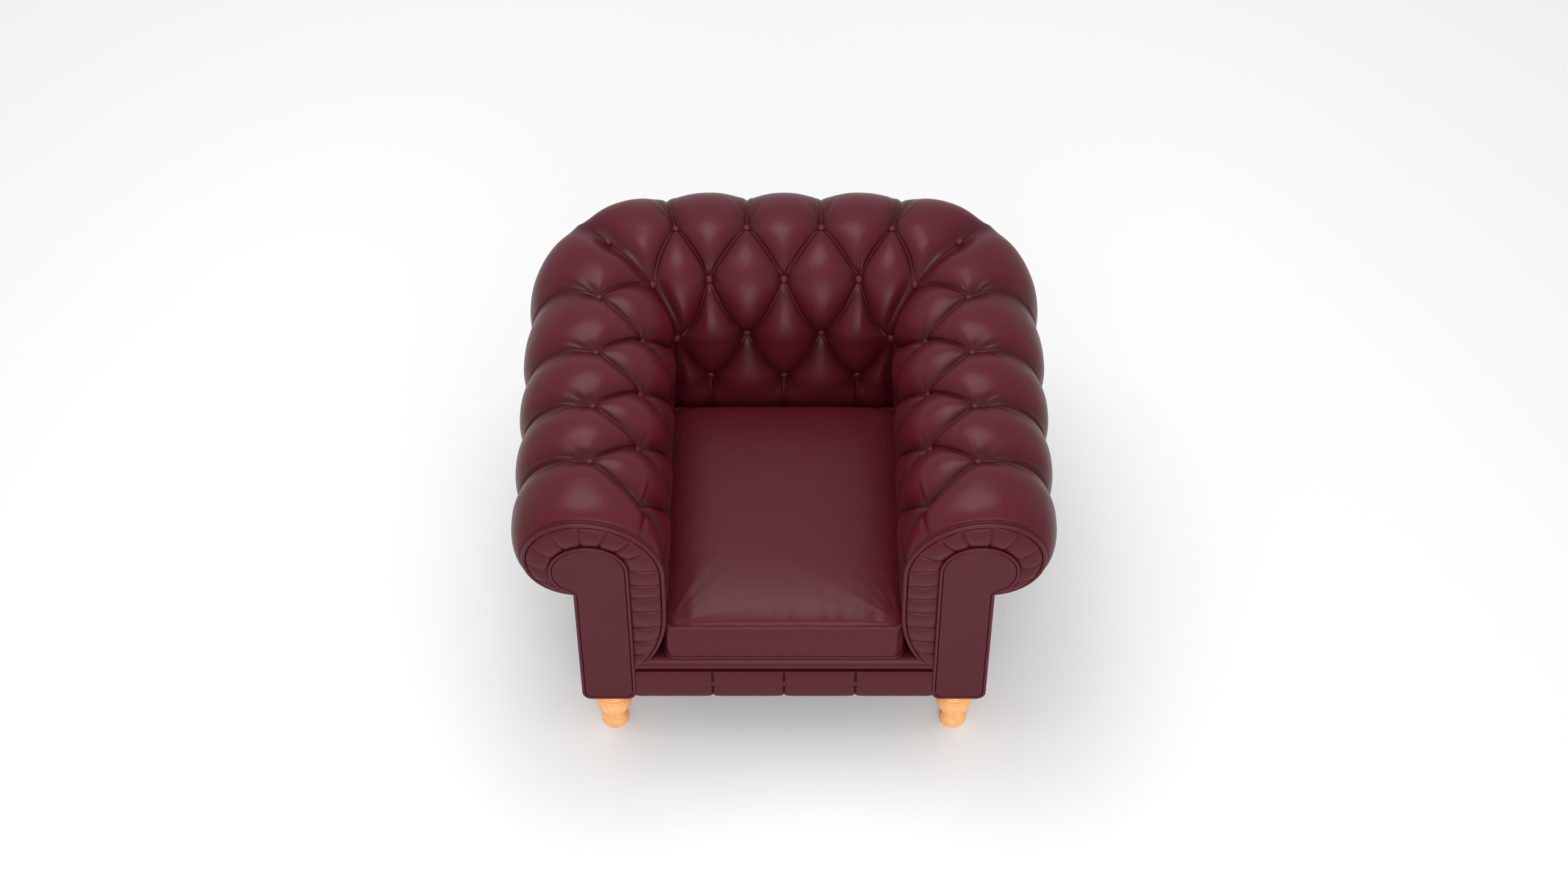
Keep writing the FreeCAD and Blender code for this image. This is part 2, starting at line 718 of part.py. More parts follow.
def band():
    """Padded band over the front rail, drawn in by pleats."""
    low = leg_height + 2.0
    high = low + band_height
    half = facing_inner - 2 * facing_welt_radius - 2 * cloth_gap
    edge = 26.0
    stations = [(-half, 0.15), (-half + edge, 0.9)]
    for k in range(band_pleat_count):
        x = (k - (band_pleat_count - 1) / 2) * band_pitch
        stations += [(x - edge, 1.0), (x, 0.2), (x + edge, 1.0)]
        if k < band_pleat_count - 1:
            stations.append((x + band_pitch / 2, 1.15))
    stations += [(half - edge, 0.9), (half, 0.15)]
    sections = []
    for x, full in stations:
        proud = -1.0 - (facing_proud - 2.0) * full * 0.8
        arc = edge_through(at(x, 0.0, low), at(x, proud, (low + high) / 2), at(x, 0.0, high))
        back = polygon_edges([at(x, 0.0, high), at(x, board_back, high), at(x, board_back, low),
                              at(x, 0.0, low)])
        sections.append(Part.Wire([arc] + back))
    export(Part.makeLoft(sections, True, True), "front_band")
    seat = front_y - 1.0 - (facing_proud - 2.0) * 0.24 - 2 * soft_gap
    buttons = []
    for k in range(band_pleat_count):
        x = (k - (band_pleat_count - 1) / 2) * band_pitch
        centre = V(x, seat, (low + high) / 2)
        rings = [regular_ring(band_button_radius, button_sides, centre + V(0, -out, 0), V(0, -1, 0))
                 for out in (0.0, 2.0)]
        buttons.append(folded(rings))
    export(Part.makeCompound(buttons), "band_buttons")


def outside_panels():
    """Plain outside arms, and the outside back that wraps round both rear corners."""
    low = leg_height + 2.0
    high = seam_z - soft_gap
    arm = box(arm_frame_outer, arm_frame_outer + panel_thickness, board_back - board_thickness, pivot_depth,
              low, high)
    export_pair(arm, "outside_arm")
    def corner_path(reach):
        radius = corner_arc + reach
        slope = radius * math.sqrt(0.5)
        return [at(pivot_x + radius, pivot_depth + soft_gap, low), at(pivot_x + radius, corner_turn_depth, low),
                at(pivot_x + slope, corner_turn_depth + slope, low), at(pivot_x, corner_turn_depth + radius, low)]
    def run(points, flip):
        side = [V(-p.x, p.y, p.z) for p in points] if flip else points
        return [Part.LineSegment(side[0], side[1]).toShape(), Part.Arc(*side[1:4]).toShape()]
    inner = corner_path(0.0)
    outer = corner_path(panel_thickness)
    edges = run(outer, False)
    edges.append(Part.LineSegment(outer[3], V(-outer[3].x, outer[3].y, low)).toShape())
    edges += list(reversed(run(outer, True)))
    edges.append(Part.LineSegment(V(-outer[0].x, outer[0].y, low), V(-inner[0].x, inner[0].y, low)).toShape())
    edges += run(inner, True)
    edges.append(Part.LineSegment(V(-inner[3].x, inner[3].y, low), inner[3]).toShape())
    edges += list(reversed(run(inner, False)))
    edges.append(Part.LineSegment(inner[0], outer[0]).toShape())
    face = Part.Face(Part.Wire(Part.__sortEdges__(edges)))
    export(face.extrude(V(0, 0, high - low)), "outside_back")


def dust_cover():
    """Black cloth under the seat, cut round the feet."""
    reach = arm_frame_outer - 4.0
    turn = pivot_depth + dust_turn
    cloth = box(-reach, reach, board_back + 4.0, turn, rail_bottom_z - dust_cloth, rail_bottom_z)
    rear = box(-pivot_x, pivot_x, turn, back_frame_outer - 24.0, rail_bottom_z - dust_cloth,
               rail_bottom_z)
    cloth = cloth.fuse(rear).removeSplitter()
    for x in (-foot_x, foot_x):
        hole = Part.makeCylinder(foot_collar_radius + 3.0, 10.0, at(x, foot_depth, rail_bottom_z - 5.0))
        cloth = cloth.cut(hole)
    export(cloth, "dust_cover")


def foot_profile():
    """Half outline of a turned foot: base bead, hollow neck, round bulb, bead and collar."""
    base, neck, bulb, collar = foot_base_radius, foot_neck_radius, foot_bulb_radius, foot_collar_radius

    def on_bulb(z):
        return math.sqrt(bulb ** 2 - (z - foot_bulb_z) ** 2), z

    below = [(0.0, glide_height), (base - 2.5, glide_height), (base, 8.0), (base - 2.5, 16.0), (neck, 28.0),
             (neck, 46.0), on_bulb(foot_bulb_z - foot_bulb_half)]
    above = [on_bulb(foot_bulb_z + foot_bulb_half), (collar + 1.0, 98.0), (collar - 4.0, 105.0),
             (collar - 4.0, 118.0), (collar, rail_bottom_z), (0.0, rail_bottom_z), (0.0, glide_height)]
    edges = polygon_edges([V(r, 0, z) for r, z in below])
    edges.append(edge_through(edges[-1].Vertexes[1].Point, V(bulb, 0, foot_bulb_z), V(above[0][0], 0, above[0][1])))
    edges += polygon_edges([V(r, 0, z) for r, z in above])
    return Part.Face(Part.Wire(edges))


def block_foot():
    """Plain tapered square foot, as such chairs have at the back."""
    def square(half, rake, z):
        return [V(-half, rake - half, z), V(half, rake - half, z), V(half, rake + half, z), V(-half, rake + half, z)]
    return folded([square(block_foot_base / 2, block_foot_rake, glide_height),
                   square(block_foot_top / 2, 0.0, rail_bottom_z)])


def feet():
    """Turned front feet and plain rear feet, with their hanger bolts and glides."""
    turned = foot_profile().revolve(V(0, 0, 0), V(0, 0, 1), 360)
    bolt = Part.makeCylinder(bolt_radius, bolt_length / 2, V(0, 0, rail_bottom_z - bolt_length / 2))
    bolts = []
    glides = []
    for name, foot, x, depth, rake in (("front_feet", turned, foot_x, foot_depth, 0.0),
                                       ("rear_feet", block_foot(), rear_foot_x, rear_foot_depth, block_foot_rake)):
        pair = []
        for side in (-x, x):
            for shape, group in ((foot.cut(bolt), pair), (bolt, bolts)):
                piece = shape.copy()
                piece.translate(at(side, depth, 0))
                group.append(piece)
            glides.append(Part.makeCylinder(glide_radius, glide_height, at(side, depth + rake, 0)))
        export(Part.makeCompound(pair), name)
    export(Part.makeCompound(bolts), "hanger_bolts")
    export(Part.makeCompound(glides), "foot_glides")


def cushion_section(depth, half, crown, shrink):
    """Closed section of the cushion at one depth: flat below, crowned above."""
    low = cushion_bottom_z + shrink
    high = cushion_top_z - shrink
    side = half - cushion_draw_in
    top = edge_through(at(half, depth, high), at(0, depth, high + crown), at(-half, depth, high))
    left = edge_through(at(-half, depth, high), at(-side, depth, (low + high) / 2), at(-half, depth, low))
    right = edge_through(at(half, depth, low), at(side, depth, (low + high) / 2), at(half, depth, high))
    floor = Part.LineSegment(at(-half, depth, low), at(half, depth, low)).toShape()
    return Part.Wire([top, left, floor, right])


def cushion_solid():
    """Crowned cushion whose sides draw in between its corners."""
    less = 2 * cushion_welt_radius + soft_gap
    half = cushion_half_width - less
    rear = cushion_depth - less
    corner = cushion_corner
    steps = [(less, 0.75, 0.12), (less + corner * 0.3, 0.2, 0.3), (less + corner, 0.0, 0.5),
             (mix(less, rear, 0.3), 0.0, 0.95), (mix(less, rear, 0.7), 0.0, 0.95), (rear - corner, 0.0, 0.5),
             (rear - corner * 0.3, 0.2, 0.3), (rear, 0.75, 0.12)]
    sections = [cushion_section(depth, half - corner * cut, cushion_crown * full, 0.0) for depth, cut, full in steps]
    return Part.makeLoft(sections, True, True)


def cushion_foam():
    """Plain foam block inside the wrapped cover."""
    side = cushion_half_width - 2 * cushion_welt_radius - wrap_thickness
    end = 2 * cushion_welt_radius + wrap_thickness
    return box(-side, side, end, cushion_depth - end, cushion_bottom_z + wrap_thickness / 2,
               cushion_top_z - wrap_thickness / 2)


def cushion_welt(z):
    """Piping loop round the cushion at one height."""
    half = cushion_half_width - cushion_welt_radius
    front = cushion_welt_radius
    rear = cushion_depth - cushion_welt_radius
    r = cushion_corner
    lean = r * (1.0 - math.sqrt(0.5))
    edges = []
    corners = [(half, front, -1, 1), (half, rear, -1, -1), (-half, rear, 1, -1), (-half, front, 1, 1)]
    for index, (x, depth, sx, sd) in enumerate(corners):
        first = at(x + sx * r, depth, z)
        second = at(x, depth + sd * r, z)
        middle = at(x + sx * lean, depth + sd * lean, z)
        if index % 2:
            first, second = second, first
        if edges:
            edges.append(Part.LineSegment(edges[-1].discretize(2)[-1], first).toShape())
        edges.append(edge_through(first, middle, second))
    edges.append(Part.LineSegment(second, edges[0].discretize(2)[0]).toShape())
    return bead(edges, V(0, 0, 1), cushion_welt_radius)


def cushion():
    """Loose seat cushion: wrapped cover, foam block and two welts."""
    foam = cushion_foam()
    export(cushion_solid().cut(foam), "cushion_cover")
    export(foam, "cushion_foam")
    export(cushion_welt(cushion_bottom_z), "cushion_welt_bottom")
    export(cushion_welt(cushion_top_z), "cushion_welt_top")


export_pair(arm_pad(), "arm_pad")
export(back_pad(), "back_pad")
export_pair(arm_buttons(), "arm_buttons")
export(back_buttons(), "back_buttons")
export(corner_buttons(), "corner_buttons")
export_pair(scroll_board(), "scroll_board")
export_pair(scroll_welt(), "scroll_welt")
export_pair(facing(), "facing")
export_pair(facing_welt(), "facing_welt")
export_pair(fan(), "scroll_fan")
seat_rails()
upper_frame()
webbing()
deck()
band()
outside_panels()
dust_cover()
feet()
cushion()
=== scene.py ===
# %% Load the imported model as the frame
import json
import math
import bmesh
import bpy
import numpy as np
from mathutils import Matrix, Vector


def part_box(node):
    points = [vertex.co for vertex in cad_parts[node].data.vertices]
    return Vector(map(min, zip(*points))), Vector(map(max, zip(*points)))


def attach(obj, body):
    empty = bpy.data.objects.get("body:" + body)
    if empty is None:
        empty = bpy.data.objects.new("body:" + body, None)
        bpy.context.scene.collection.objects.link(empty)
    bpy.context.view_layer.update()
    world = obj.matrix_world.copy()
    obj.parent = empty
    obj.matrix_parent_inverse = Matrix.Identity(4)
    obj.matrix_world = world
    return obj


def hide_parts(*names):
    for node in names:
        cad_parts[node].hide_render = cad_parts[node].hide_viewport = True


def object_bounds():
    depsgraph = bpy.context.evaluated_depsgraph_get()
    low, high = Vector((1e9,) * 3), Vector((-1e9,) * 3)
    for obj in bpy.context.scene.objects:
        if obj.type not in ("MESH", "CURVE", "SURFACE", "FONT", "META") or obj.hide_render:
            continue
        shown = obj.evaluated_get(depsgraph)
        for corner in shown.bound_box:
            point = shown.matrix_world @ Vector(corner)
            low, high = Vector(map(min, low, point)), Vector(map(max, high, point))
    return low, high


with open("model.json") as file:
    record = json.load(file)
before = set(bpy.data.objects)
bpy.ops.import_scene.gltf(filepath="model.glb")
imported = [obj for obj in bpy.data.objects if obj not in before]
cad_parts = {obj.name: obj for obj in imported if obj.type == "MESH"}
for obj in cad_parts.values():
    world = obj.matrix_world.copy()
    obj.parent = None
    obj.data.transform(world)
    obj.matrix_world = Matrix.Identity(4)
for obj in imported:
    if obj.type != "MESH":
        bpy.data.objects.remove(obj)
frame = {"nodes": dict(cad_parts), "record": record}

cad_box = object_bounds()

# %% [markdown]
# The chair is upholstered, so nearly everything that shows is leather pulled over something.
# We lay out the sizes first, in metres, in the frame that the model already has: x to the
# side, z up, and the front towards -y. Depths are counted back from the two flat facings at
# the front of the arms, because a chair maker measures from there. A pitch is the distance
# between two buttons of one row.

# %% Sizes of the chair
FRONT_Y = cad_box[0][1] + 0.007
ROLL_RADIUS, ROLL_CENTRE_Z = 0.110, 0.606
ROLL_TOP_Z = ROLL_CENTRE_Z + ROLL_RADIUS
ARM_ROLL_X, ARM_WALL_X = 0.409, 0.244
BACK_ROLL_DEPTH, BACK_WALL_DEPTH = 0.840, 0.664
ROW_4_Z, HEM_Z = 0.433, 0.245
ARM_PITCH, BACK_PITCH = 0.1465, 0.160
FIRST_COLUMN = 0.168
BOARD_BACK = 0.0135
print("facings at y", round(FRONT_Y, 4), "and the top of the rolls at z", ROLL_TOP_Z)

# %% [markdown]
# A camera looks down on the chair at 50 degrees from straight ahead, from far away with a
# long lens, so verticals stay nearly parallel. Its height and distance come from the way
# that the arms, the cushion and the feet grow smaller with depth in the picture.

# %% Camera
def linked(name, data):
    """A new object at the origin, linked to the scene."""
    obj = bpy.data.objects.new(name, data)
    bpy.context.scene.collection.objects.link(obj)
    return obj


camera = linked("camera", bpy.data.cameras.new("camera"))
camera.data.sensor_width = 36.0
camera.data.lens = 65.2
camera.data.clip_end = 60.0
camera.location = (0.0, FRONT_Y - 3.4513, 5.0802)
camera.rotation_euler = (math.radians(40.0), 0.0, 0.0)
bpy.context.scene.camera = camera
print("camera at", tuple(round(c, 3) for c in camera.location))

# %% [markdown]
# Shader nodes are easier to read as sums. This small class wraps one socket, so that
# `0.5 + noise * mask` adds the Math nodes that it says.

# %% A small language for shader maths
class Sum:
    """One socket in a node tree that can be added, multiplied and compared."""

    def __init__(self, tree, socket):
        self.tree, self.socket = tree, socket

    def node(self, kind, settings=(), inputs=(), out=0):
        """Add a node of a kind, set it up, feed its sockets and return one output."""
        new = self.tree.nodes.new(kind)
        for name, value in dict(settings).items():
            setattr(new, name, value)
        for name, value in dict(inputs).items():
            if isinstance(value, Sum):
                self.tree.links.new(value.socket, new.inputs[name])
            else:
                new.inputs[name].default_value = value
        return Sum(self.tree, new.outputs[out])

    def maths(self, operation, *values):
        return self.node("ShaderNodeMath", {"operation": operation}, dict(enumerate(values)))

    def between(self, low, high):
        """0 below low, 1 above high, and a smooth step between them."""
        return self.node("ShaderNodeMapRange", {"interpolation_type": "SMOOTHSTEP"},
                         {"Value": self, "From Min": low, "From Max": high})

    def feed(self, shader, name):
        """Let this value drive one socket of a shader."""
        self.tree.links.new(self.socket, shader.inputs[name])

    def __add__(self, other):
        return self.maths("ADD", self, other)

    def __sub__(self, other):
        return self.maths("SUBTRACT", self, other)

    def __rsub__(self, other):
        return self.maths("SUBTRACT", other, self)

    def __mul__(self, other):
        return self.maths("MULTIPLY", self, other)

    __radd__ = __add__
    __rmul__ = __mul__


def constants(node, **values):
    """Set plain values on a node's inputs; an underscore stands for a space."""
    for name, value in values.items():
        node.inputs[name.replace("_", " ")].default_value = value


def new_material(name):
    """An empty node material: its start for sums and its Principled shader."""
    material = bpy.data.materials.new(name)
    material.use_nodes = True
    tree = material.node_tree
    shader = tree.nodes["Principled BSDF"]
    coordinates = tree.nodes.new("ShaderNodeTexCoord")
    return material, Sum(tree, coordinates.outputs["Object"]), shader


def noise(place, scale, detail=3.0, roughness=0.5):
    """Cloudy noise, 0 to 1, so many cycles a metre."""
    return place.node("ShaderNodeTexNoise", {}, {"Vector": place, "Scale": scale, "Detail": detail,
                                                 "Roughness": roughness})


def tint(share, dark, light):
    """Colour between dark and light by a share, through sockets 0, 6 and 7 of a Mix node."""
    return share.node("ShaderNodeMix", {"data_type": "RGBA"},
                      {0: share, 6: (*dark, 1.0), 7: (*light, 1.0)}, out=2)


def bumped(shader, height, distance, strength):
    """Feed a height, worth so many metres, to the shader's normal."""
    height.node("ShaderNodeBump", {}, {"Height": height, "Distance": distance,
                                       "Strength": strength}).feed(shader, "Normal")

# %% [markdown]
# The leather is a smooth, satin, oxblood hide. Its dye is uneven by a little, and the folds are
# painted a deeper red as painted shade, while the crowns keep a lighter, slightly greyer colour
# as the lit copy. A fine pebble grain breaks up the shine. The `fold` attribute, which each
# piece stores when it is made, says how deep in a fold a point lies, and so how much painted shade it gets.

# %% Oxblood leather
def leather_material(name, crown, fold, roughness=0.35):
    """Leather from two colours: crown, the lit colour on top of the padding, and fold, a darker painted shade
    in the pleats.
    """
    material, place, shader = new_material(name)
    depth = place.node("ShaderNodeAttribute", {"attribute_name": "fold"}, out=2)
    cloud = noise(place, 9.0)
    grain = noise(place, 900.0, 2.0, 0.6)
    pebble = place.node("ShaderNodeTexVoronoi", {"feature": "SMOOTH_F1"}, {"Vector": place, "Scale": 620.0})
    # Painted shade: the fold share darkens the colour towards the fold colour in pleats and creases; the
    # cloud noise on top is uneven dye.
    tint((depth * 0.9 + (cloud - 0.5) * 0.35).between(0.0, 1.0), crown, fold).feed(shader, "Base Color")
    (roughness + (cloud - 0.5) * 0.10 + (grain - 0.5) * 0.06).feed(shader, "Roughness")
    constants(shader, Coat_Weight=0.04, Coat_Roughness=0.30, Specular_IOR_Level=0.15)
    bumped(shader, pebble * 0.6 + grain * 0.4, 0.00012, 0.35)
    return material


# Each leather gets a lit crown colour and a darker fold colour, which is painted shade.
LEATHER = leather_material("oxblood_leather", (0.074, 0.0070, 0.0130), (0.046, 0.0030, 0.0062))
LEATHER_TRIM = leather_material("oxblood_piping", (0.079, 0.0100, 0.0170), (0.055, 0.0050, 0.0090), 0.38)
print("made", LEATHER.name, "and", LEATHER_TRIM.name)

# %% [markdown]
# Timber, webbing and lining lie inside or beneath. They still get their own finish, so that
# whoever opens the model up finds a chair and not a grey shell.

# %% Timber, cloth, metal and foam
def timber_material(name, light, dark, roughness, coat):
    """Grain from rings that a stretched noise bends."""
    material, place, shader = new_material(name)
    mapping = place.node("ShaderNodeMapping", {}, {"Vector": place, "Scale": (1.0, 1.0, 0.12)})
    wander = noise(mapping, 26.0, 4.0)
    fine = noise(mapping, 420.0, 3.0)
    turns = wander * 9.0
    rings = turns.maths("FRACT", turns)
    tint((rings * 0.45 + fine * 0.55).between(0.15, 0.85), dark, light).feed(shader, "Base Color")
    (roughness + fine * 0.12).feed(shader, "Roughness")
    constants(shader, Coat_Weight=coat, Coat_Roughness=0.22)
    bumped(shader, rings * 0.5 + fine, 0.0002, 0.25)
    return material


def woven_material(name, low, high, threads):
    """Plain weave: two crossed waves of threads."""
    material, place, shader = new_material(name)
    waves = [place.node("ShaderNodeTexWave", {"bands_direction": way}, {"Vector": place, "Scale": threads})
             for way in "XY"]
    weave = waves[0] * 0.5 + waves[1] * 0.5
    tint(weave, low, high).feed(shader, "Base Color")
    constants(shader, Roughness=0.9)
    bumped(shader, weave, 0.0004, 0.5)
    return material


def plain_material(name, low, high, roughness, metallic=0.0):
    """A flat finish whose colour and gloss wander a little."""
    material, place, shader = new_material(name)
    cloud = noise(place, 60.0, 4.0)
    tint(cloud, low, high).feed(shader, "Base Color")
    (roughness + (cloud - 0.5) * 0.15).feed(shader, "Roughness")
    constants(shader, Metallic=metallic)
    bumped(shader, cloud, 0.0002, 0.2)
    return material


HONEY_WOOD = timber_material("honey_wood", (0.97, 0.49, 0.19), (0.84, 0.38, 0.12), 0.32, 0.30)
FRAME_WOOD = timber_material("frame_wood", (0.62, 0.47, 0.30), (0.50, 0.34, 0.19), 0.65, 0.0)
WEBBING = woven_material("jute_webbing", (0.30, 0.22, 0.13), (0.48, 0.38, 0.24), 500.0)
LINING = woven_material("black_lining", (0.010, 0.010, 0.012), (0.030, 0.030, 0.034), 700.0)
FOAM = plain_material("cushion_foam", (0.80, 0.74, 0.55), (0.88, 0.84, 0.70), 0.95)
PLASTIC = plain_material("dark_plastic", (0.03, 0.025, 0.02), (0.06, 0.05, 0.045), 0.5)
STEEL = plain_material("plated_steel", (0.52, 0.52, 0.53), (0.62, 0.62, 0.63), 0.35, 1.0)

FINISHES = {"leather": LEATHER, "turned_wood": HONEY_WOOD, "frame_wood": FRAME_WOOD, "webbing": WEBBING,
            "lining": LINING, "foam": FOAM, "plastic": PLASTIC, "steel": STEEL}
slots = {part["node"]: part["material_slot"] for part in frame["record"]["subparts"]}
for node, obj in frame["nodes"].items():
    obj.data.materials.clear()
    obj.data.materials.append(FINISHES[slots[node]])
print("finishes on", len(slots), "nodes")

# %% [markdown]
# New pieces are grids of points worked out by numpy. One helper turns a grid into a mesh,
# joins it where it closes on itself, stores its `fold` values, turns the faces outwards and
# hands it to the body that it rides on.

# %% From a grid of points to a piece
SAME_POINT = 2e-6


def grid_faces(rows, columns, wrap):
    """Corner numbers of the quads of a grid; wrap joins the last row to the first."""
    index = np.arange(rows * columns).reshape(rows, columns)
    if wrap:
        index = np.vstack([index, index[:1]])
    return np.stack([index[:-1, :-1], index[:-1, 1:], index[1:, 1:], index[1:, :-1]], -1).reshape(-1, 4)


def piece(name, points, faces, fold=0.0, body="chair", replaces=(), material=LEATHER):
    """A finished piece from points (n, 3) and faces, with its finish and its body."""
    mesh = bpy.data.meshes.new(name)
    mesh.vertices.add(len(points))
    mesh.vertices.foreach_set("co", np.asarray(points, dtype=np.float32).ravel())
    if isinstance(faces, np.ndarray):
        sizes, corners = np.full(len(faces), 4), faces.ravel()
    else:
        sizes, corners = np.array([len(face) for face in faces]), np.concatenate(faces)
    mesh.loops.add(len(corners))
    mesh.loops.foreach_set("vertex_index", corners.astype(np.int32))
    mesh.polygons.add(len(sizes))
    mesh.polygons.foreach_set("loop_start", (np.cumsum(sizes) - sizes).astype(np.int32))
    mesh.update(calc_edges=True)
    values = np.broadcast_to(np.clip(fold, 0.0, 1.0).ravel(), len(points))
    mesh.attributes.new("fold", "FLOAT", "POINT").data.foreach_set("value", values.astype(np.float32))
    shape = bmesh.new()
    shape.from_mesh(mesh)
    bmesh.ops.remove_doubles(shape, verts=shape.verts, dist=SAME_POINT)
    bmesh.ops.recalc_face_normals(shape, faces=shape.faces)
    if shape.calc_volume(signed=True) < 0:
        bmesh.ops.reverse_faces(shape, faces=shape.faces)
    shape.to_mesh(mesh)
    shape.free()
    mesh.polygons.foreach_set("use_smooth", np.ones(len(mesh.polygons), dtype=bool))
    mesh.materials.append(material)
    obj = linked(name, mesh)
    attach(obj, body)
    if replaces:
        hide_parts(*replaces)
    return obj


def capped(grid):
    """Close both ends of a ring grid (rows, columns, 3) by drawing them to a point."""
    ends = [np.repeat(grid[:, [k]].mean(axis=0, keepdims=True), len(grid), axis=0) for k in (0, -1)]
    return np.concatenate([ends[0], grid, ends[1]], axis=1)


def placed(x, depth, z):
    """Points from side, depth behind the facings and height."""
    x, depth, z = np.broadcast_arrays(x, depth, z)
    return np.stack([x, FRONT_Y + depth, z], axis=-1)


def step(value, low, high):
    """0 below low, 1 above high, smooth between."""
    t = np.clip((value - low) / (high - low), 0.0, 1.0)
    return t * t * (3.0 - 2.0 * t)


def blend(a, b, share):
    return a + (b - a) * share

# %% [markdown]
# The rolled arms and the back share one section. Its outside is a circle, its inside a
# larger quarter circle that falls into a wall. A row number runs along it: 0 at the seam
# under the roll, 1 to 4 at the rows of buttons and 5 at the hem beside the seat.

# %% Section of the roll
ROW_ANGLES = [-82.0, 97.0, 135.0, 176.0]
WALL_LEAN = 0.14
FLARE, FLARE_TOP_Z, FLARE_HEIGHT = 0.052, 0.470, 0.220


def section(v, centre, wall, is_back):
    """Place, height and outward normal of the bare section at rows v.

    The angle round the roll grows from the seam through rows 1, 2 and 3. Below row 3 the
    wall drops: on the back it leans towards the seat, in proportion to the drop, and on the
    arms it flares away from it, by the cube of the drop.
    """
    angle = np.radians(np.interp(v, [0, 1, 2, 3], ROW_ANGLES))
    shoulder = centre - wall
    inside = angle > math.pi / 2
    radius = np.where(inside, shoulder, ROLL_RADIUS)
    middle_z = np.where(inside, ROLL_TOP_Z - shoulder, ROLL_CENTRE_Z)
    row_3_z = ROLL_TOP_Z - shoulder + shoulder * math.sin(math.radians(ROW_ANGLES[3]))
    low_z = np.interp(v, [3, 4, 5], [row_3_z, ROW_4_Z, HEM_Z])
    if is_back:
        off = -WALL_LEAN * np.maximum(ROLL_TOP_Z - shoulder - low_z, 0.0)
    else:
        off = FLARE * (np.maximum(FLARE_TOP_Z - low_z, 0.0) / FLARE_HEIGHT) ** 3
    below = v > 3.0
    return (np.where(below, wall + off, centre + radius * np.cos(angle)),
            np.where(below, low_z, middle_z + radius * np.sin(angle)),
            np.where(below, -1.0, np.cos(angle)), np.where(below, 0.0, np.sin(angle)))


def arm_section(v):
    return section(v, ARM_ROLL_X, ARM_WALL_X, False)


def back_section(v):
    return section(v, BACK_ROLL_DEPTH, BACK_WALL_DEPTH, True)


def true_row(w):
    """Row on the section of net row w.

    Between rows 1 and 2 half a sine wave is taken off, so the pleats set off shallow, and
    below row 2 one is added, so they set off steep. Each diamond becomes a leaf.
    """
    bend = np.where(w < 2.0, -0.06, 0.12) * np.sin(math.pi * (w - np.floor(w)))
    return w + np.where((w > 1.0) & (w < 4.0), bend, 0.0)

# %% [markdown]
# Deep buttoning is a net of diamonds. The cloth is pinned at the buttons, folded along the
# lines between them and full in between. So the height of the padding needs only one
# number: how far a point lies from the nearest line of the net, found with remainders.

# %% Height of the buttoned padding
LOBE, PLEAT, NET_PLEAT = 0.028, 0.015, 0.006
CREASE_DEPTH = 0.0035
HEM_LOBE, HEM_CREASE = 0.017, 0.004
SEAM_HEIGHT = 0.0004
MITRE_ROWS = [0.0, 0.12, 0.30, 0.7, 1.0, 1.5, 2.0, 2.5, 3.0, 3.5, 4.0, 4.35, 5.0]
MITRE_HEIGHTS = [SEAM_HEIGHT, 0.009, 0.014, 0.013, 0.006, 0.009, 0.007,
                 0.010, 0.007, 0.010, 0.009, 0.004, 0.002]


def to_odd(value):
    """Distance from the nearest odd number, 0 to 1."""
    return np.abs(np.mod(value, 2.0) - 1.0)


def net_distance(u, w, front_free):
    """Distances, 0 to 1, from the nearest pleat of either family at column u and net row w.

    Pleats lie where u - w or u + w is odd. Over the roll they run straight at even columns,
    and below row 4 at odd columns. With front_free they stop where the arm's big front lobe
    begins.
    """
    rising, falling = to_odd(u - w), to_odd(u + w)
    if front_free:
        rising = np.where((u - w < -2.0) & (w < 2.0), 1.0, rising)
        falling = np.where((u + w < 0.0) & (w < 2.0), 1.0, falling)
    roll = 1.0 - to_odd(u)
    if front_free:
        roll = np.where(u < -1.0, 1.0, roll)
    straight = np.where(w <= 1.0, roll, to_odd(u))
    in_net = (w > 1.0) & (w < 4.0)
    return np.where(in_net, rising, straight), np.where(in_net, falling, straight)


def pillow(distance, power):
    """Rounded lobe: 0 at the pleat, steep beside it and flat in the middle."""
    return 1.0 - (1.0 - distance) ** power


def padding(u, w, last_row, front_free):
    """Height of the padding over the bare section, and the share of fold, which sets how much painted shade
    the leather gets.

    It is full where both families of pleats are far and sinks to the pleat's own height on
    either. Below last_row the lobes end: in a flat wall on the arms, in flutes on the back.
    """
    one, other = net_distance(u, w, front_free)
    away = np.minimum(one, other)
    floor = blend(PLEAT, NET_PLEAT, step(w, 0.6, 1.4))
    full = pillow(one, 2.3) * pillow(other, 2.3) ** step(w, 0.3, 1.0)
    height = blend(floor, LOBE, full) - CREASE_DEPTH * np.exp(-(away / 0.05) ** 2)
    plain = step(w, last_row, last_row + 1.0)
    if last_row < 4:
        height = height * blend(1.0, 0.40, step(w, 2.2, 3.4))
        height = blend(height, 0.008, plain)
        height = blend(height, 0.001, step(w, 4.0, 4.3))
    else:
        flute = HEM_LOBE - HEM_CREASE * np.exp(-(away / 0.07) ** 2)
        height = blend(height, flute, step(w, 4.0, 4.35))
    height = blend(SEAM_HEIGHT, height, np.sqrt(np.clip(w / 0.28, 0.0, 1.0)))
    # The fold share is highest in the pleats, where it paints the leather darker as shade.
    return height, (1.0 - full) ** 1.5 * (1.0 - plain)


def mitre_padding(w):
    """Height along the mitre pleat, the same on both sides of it."""
    return np.interp(w, MITRE_ROWS, MITRE_HEIGHTS)

# %% [markdown]
# Arm and back meet in a mitre, as a picture frame does. Both are their own section drawn
# along a straight line up to that mitre, so the inside corner is sharp, while the outside
# of the roll is pulled round. We work out the mitre's line once, and both sides end on it.

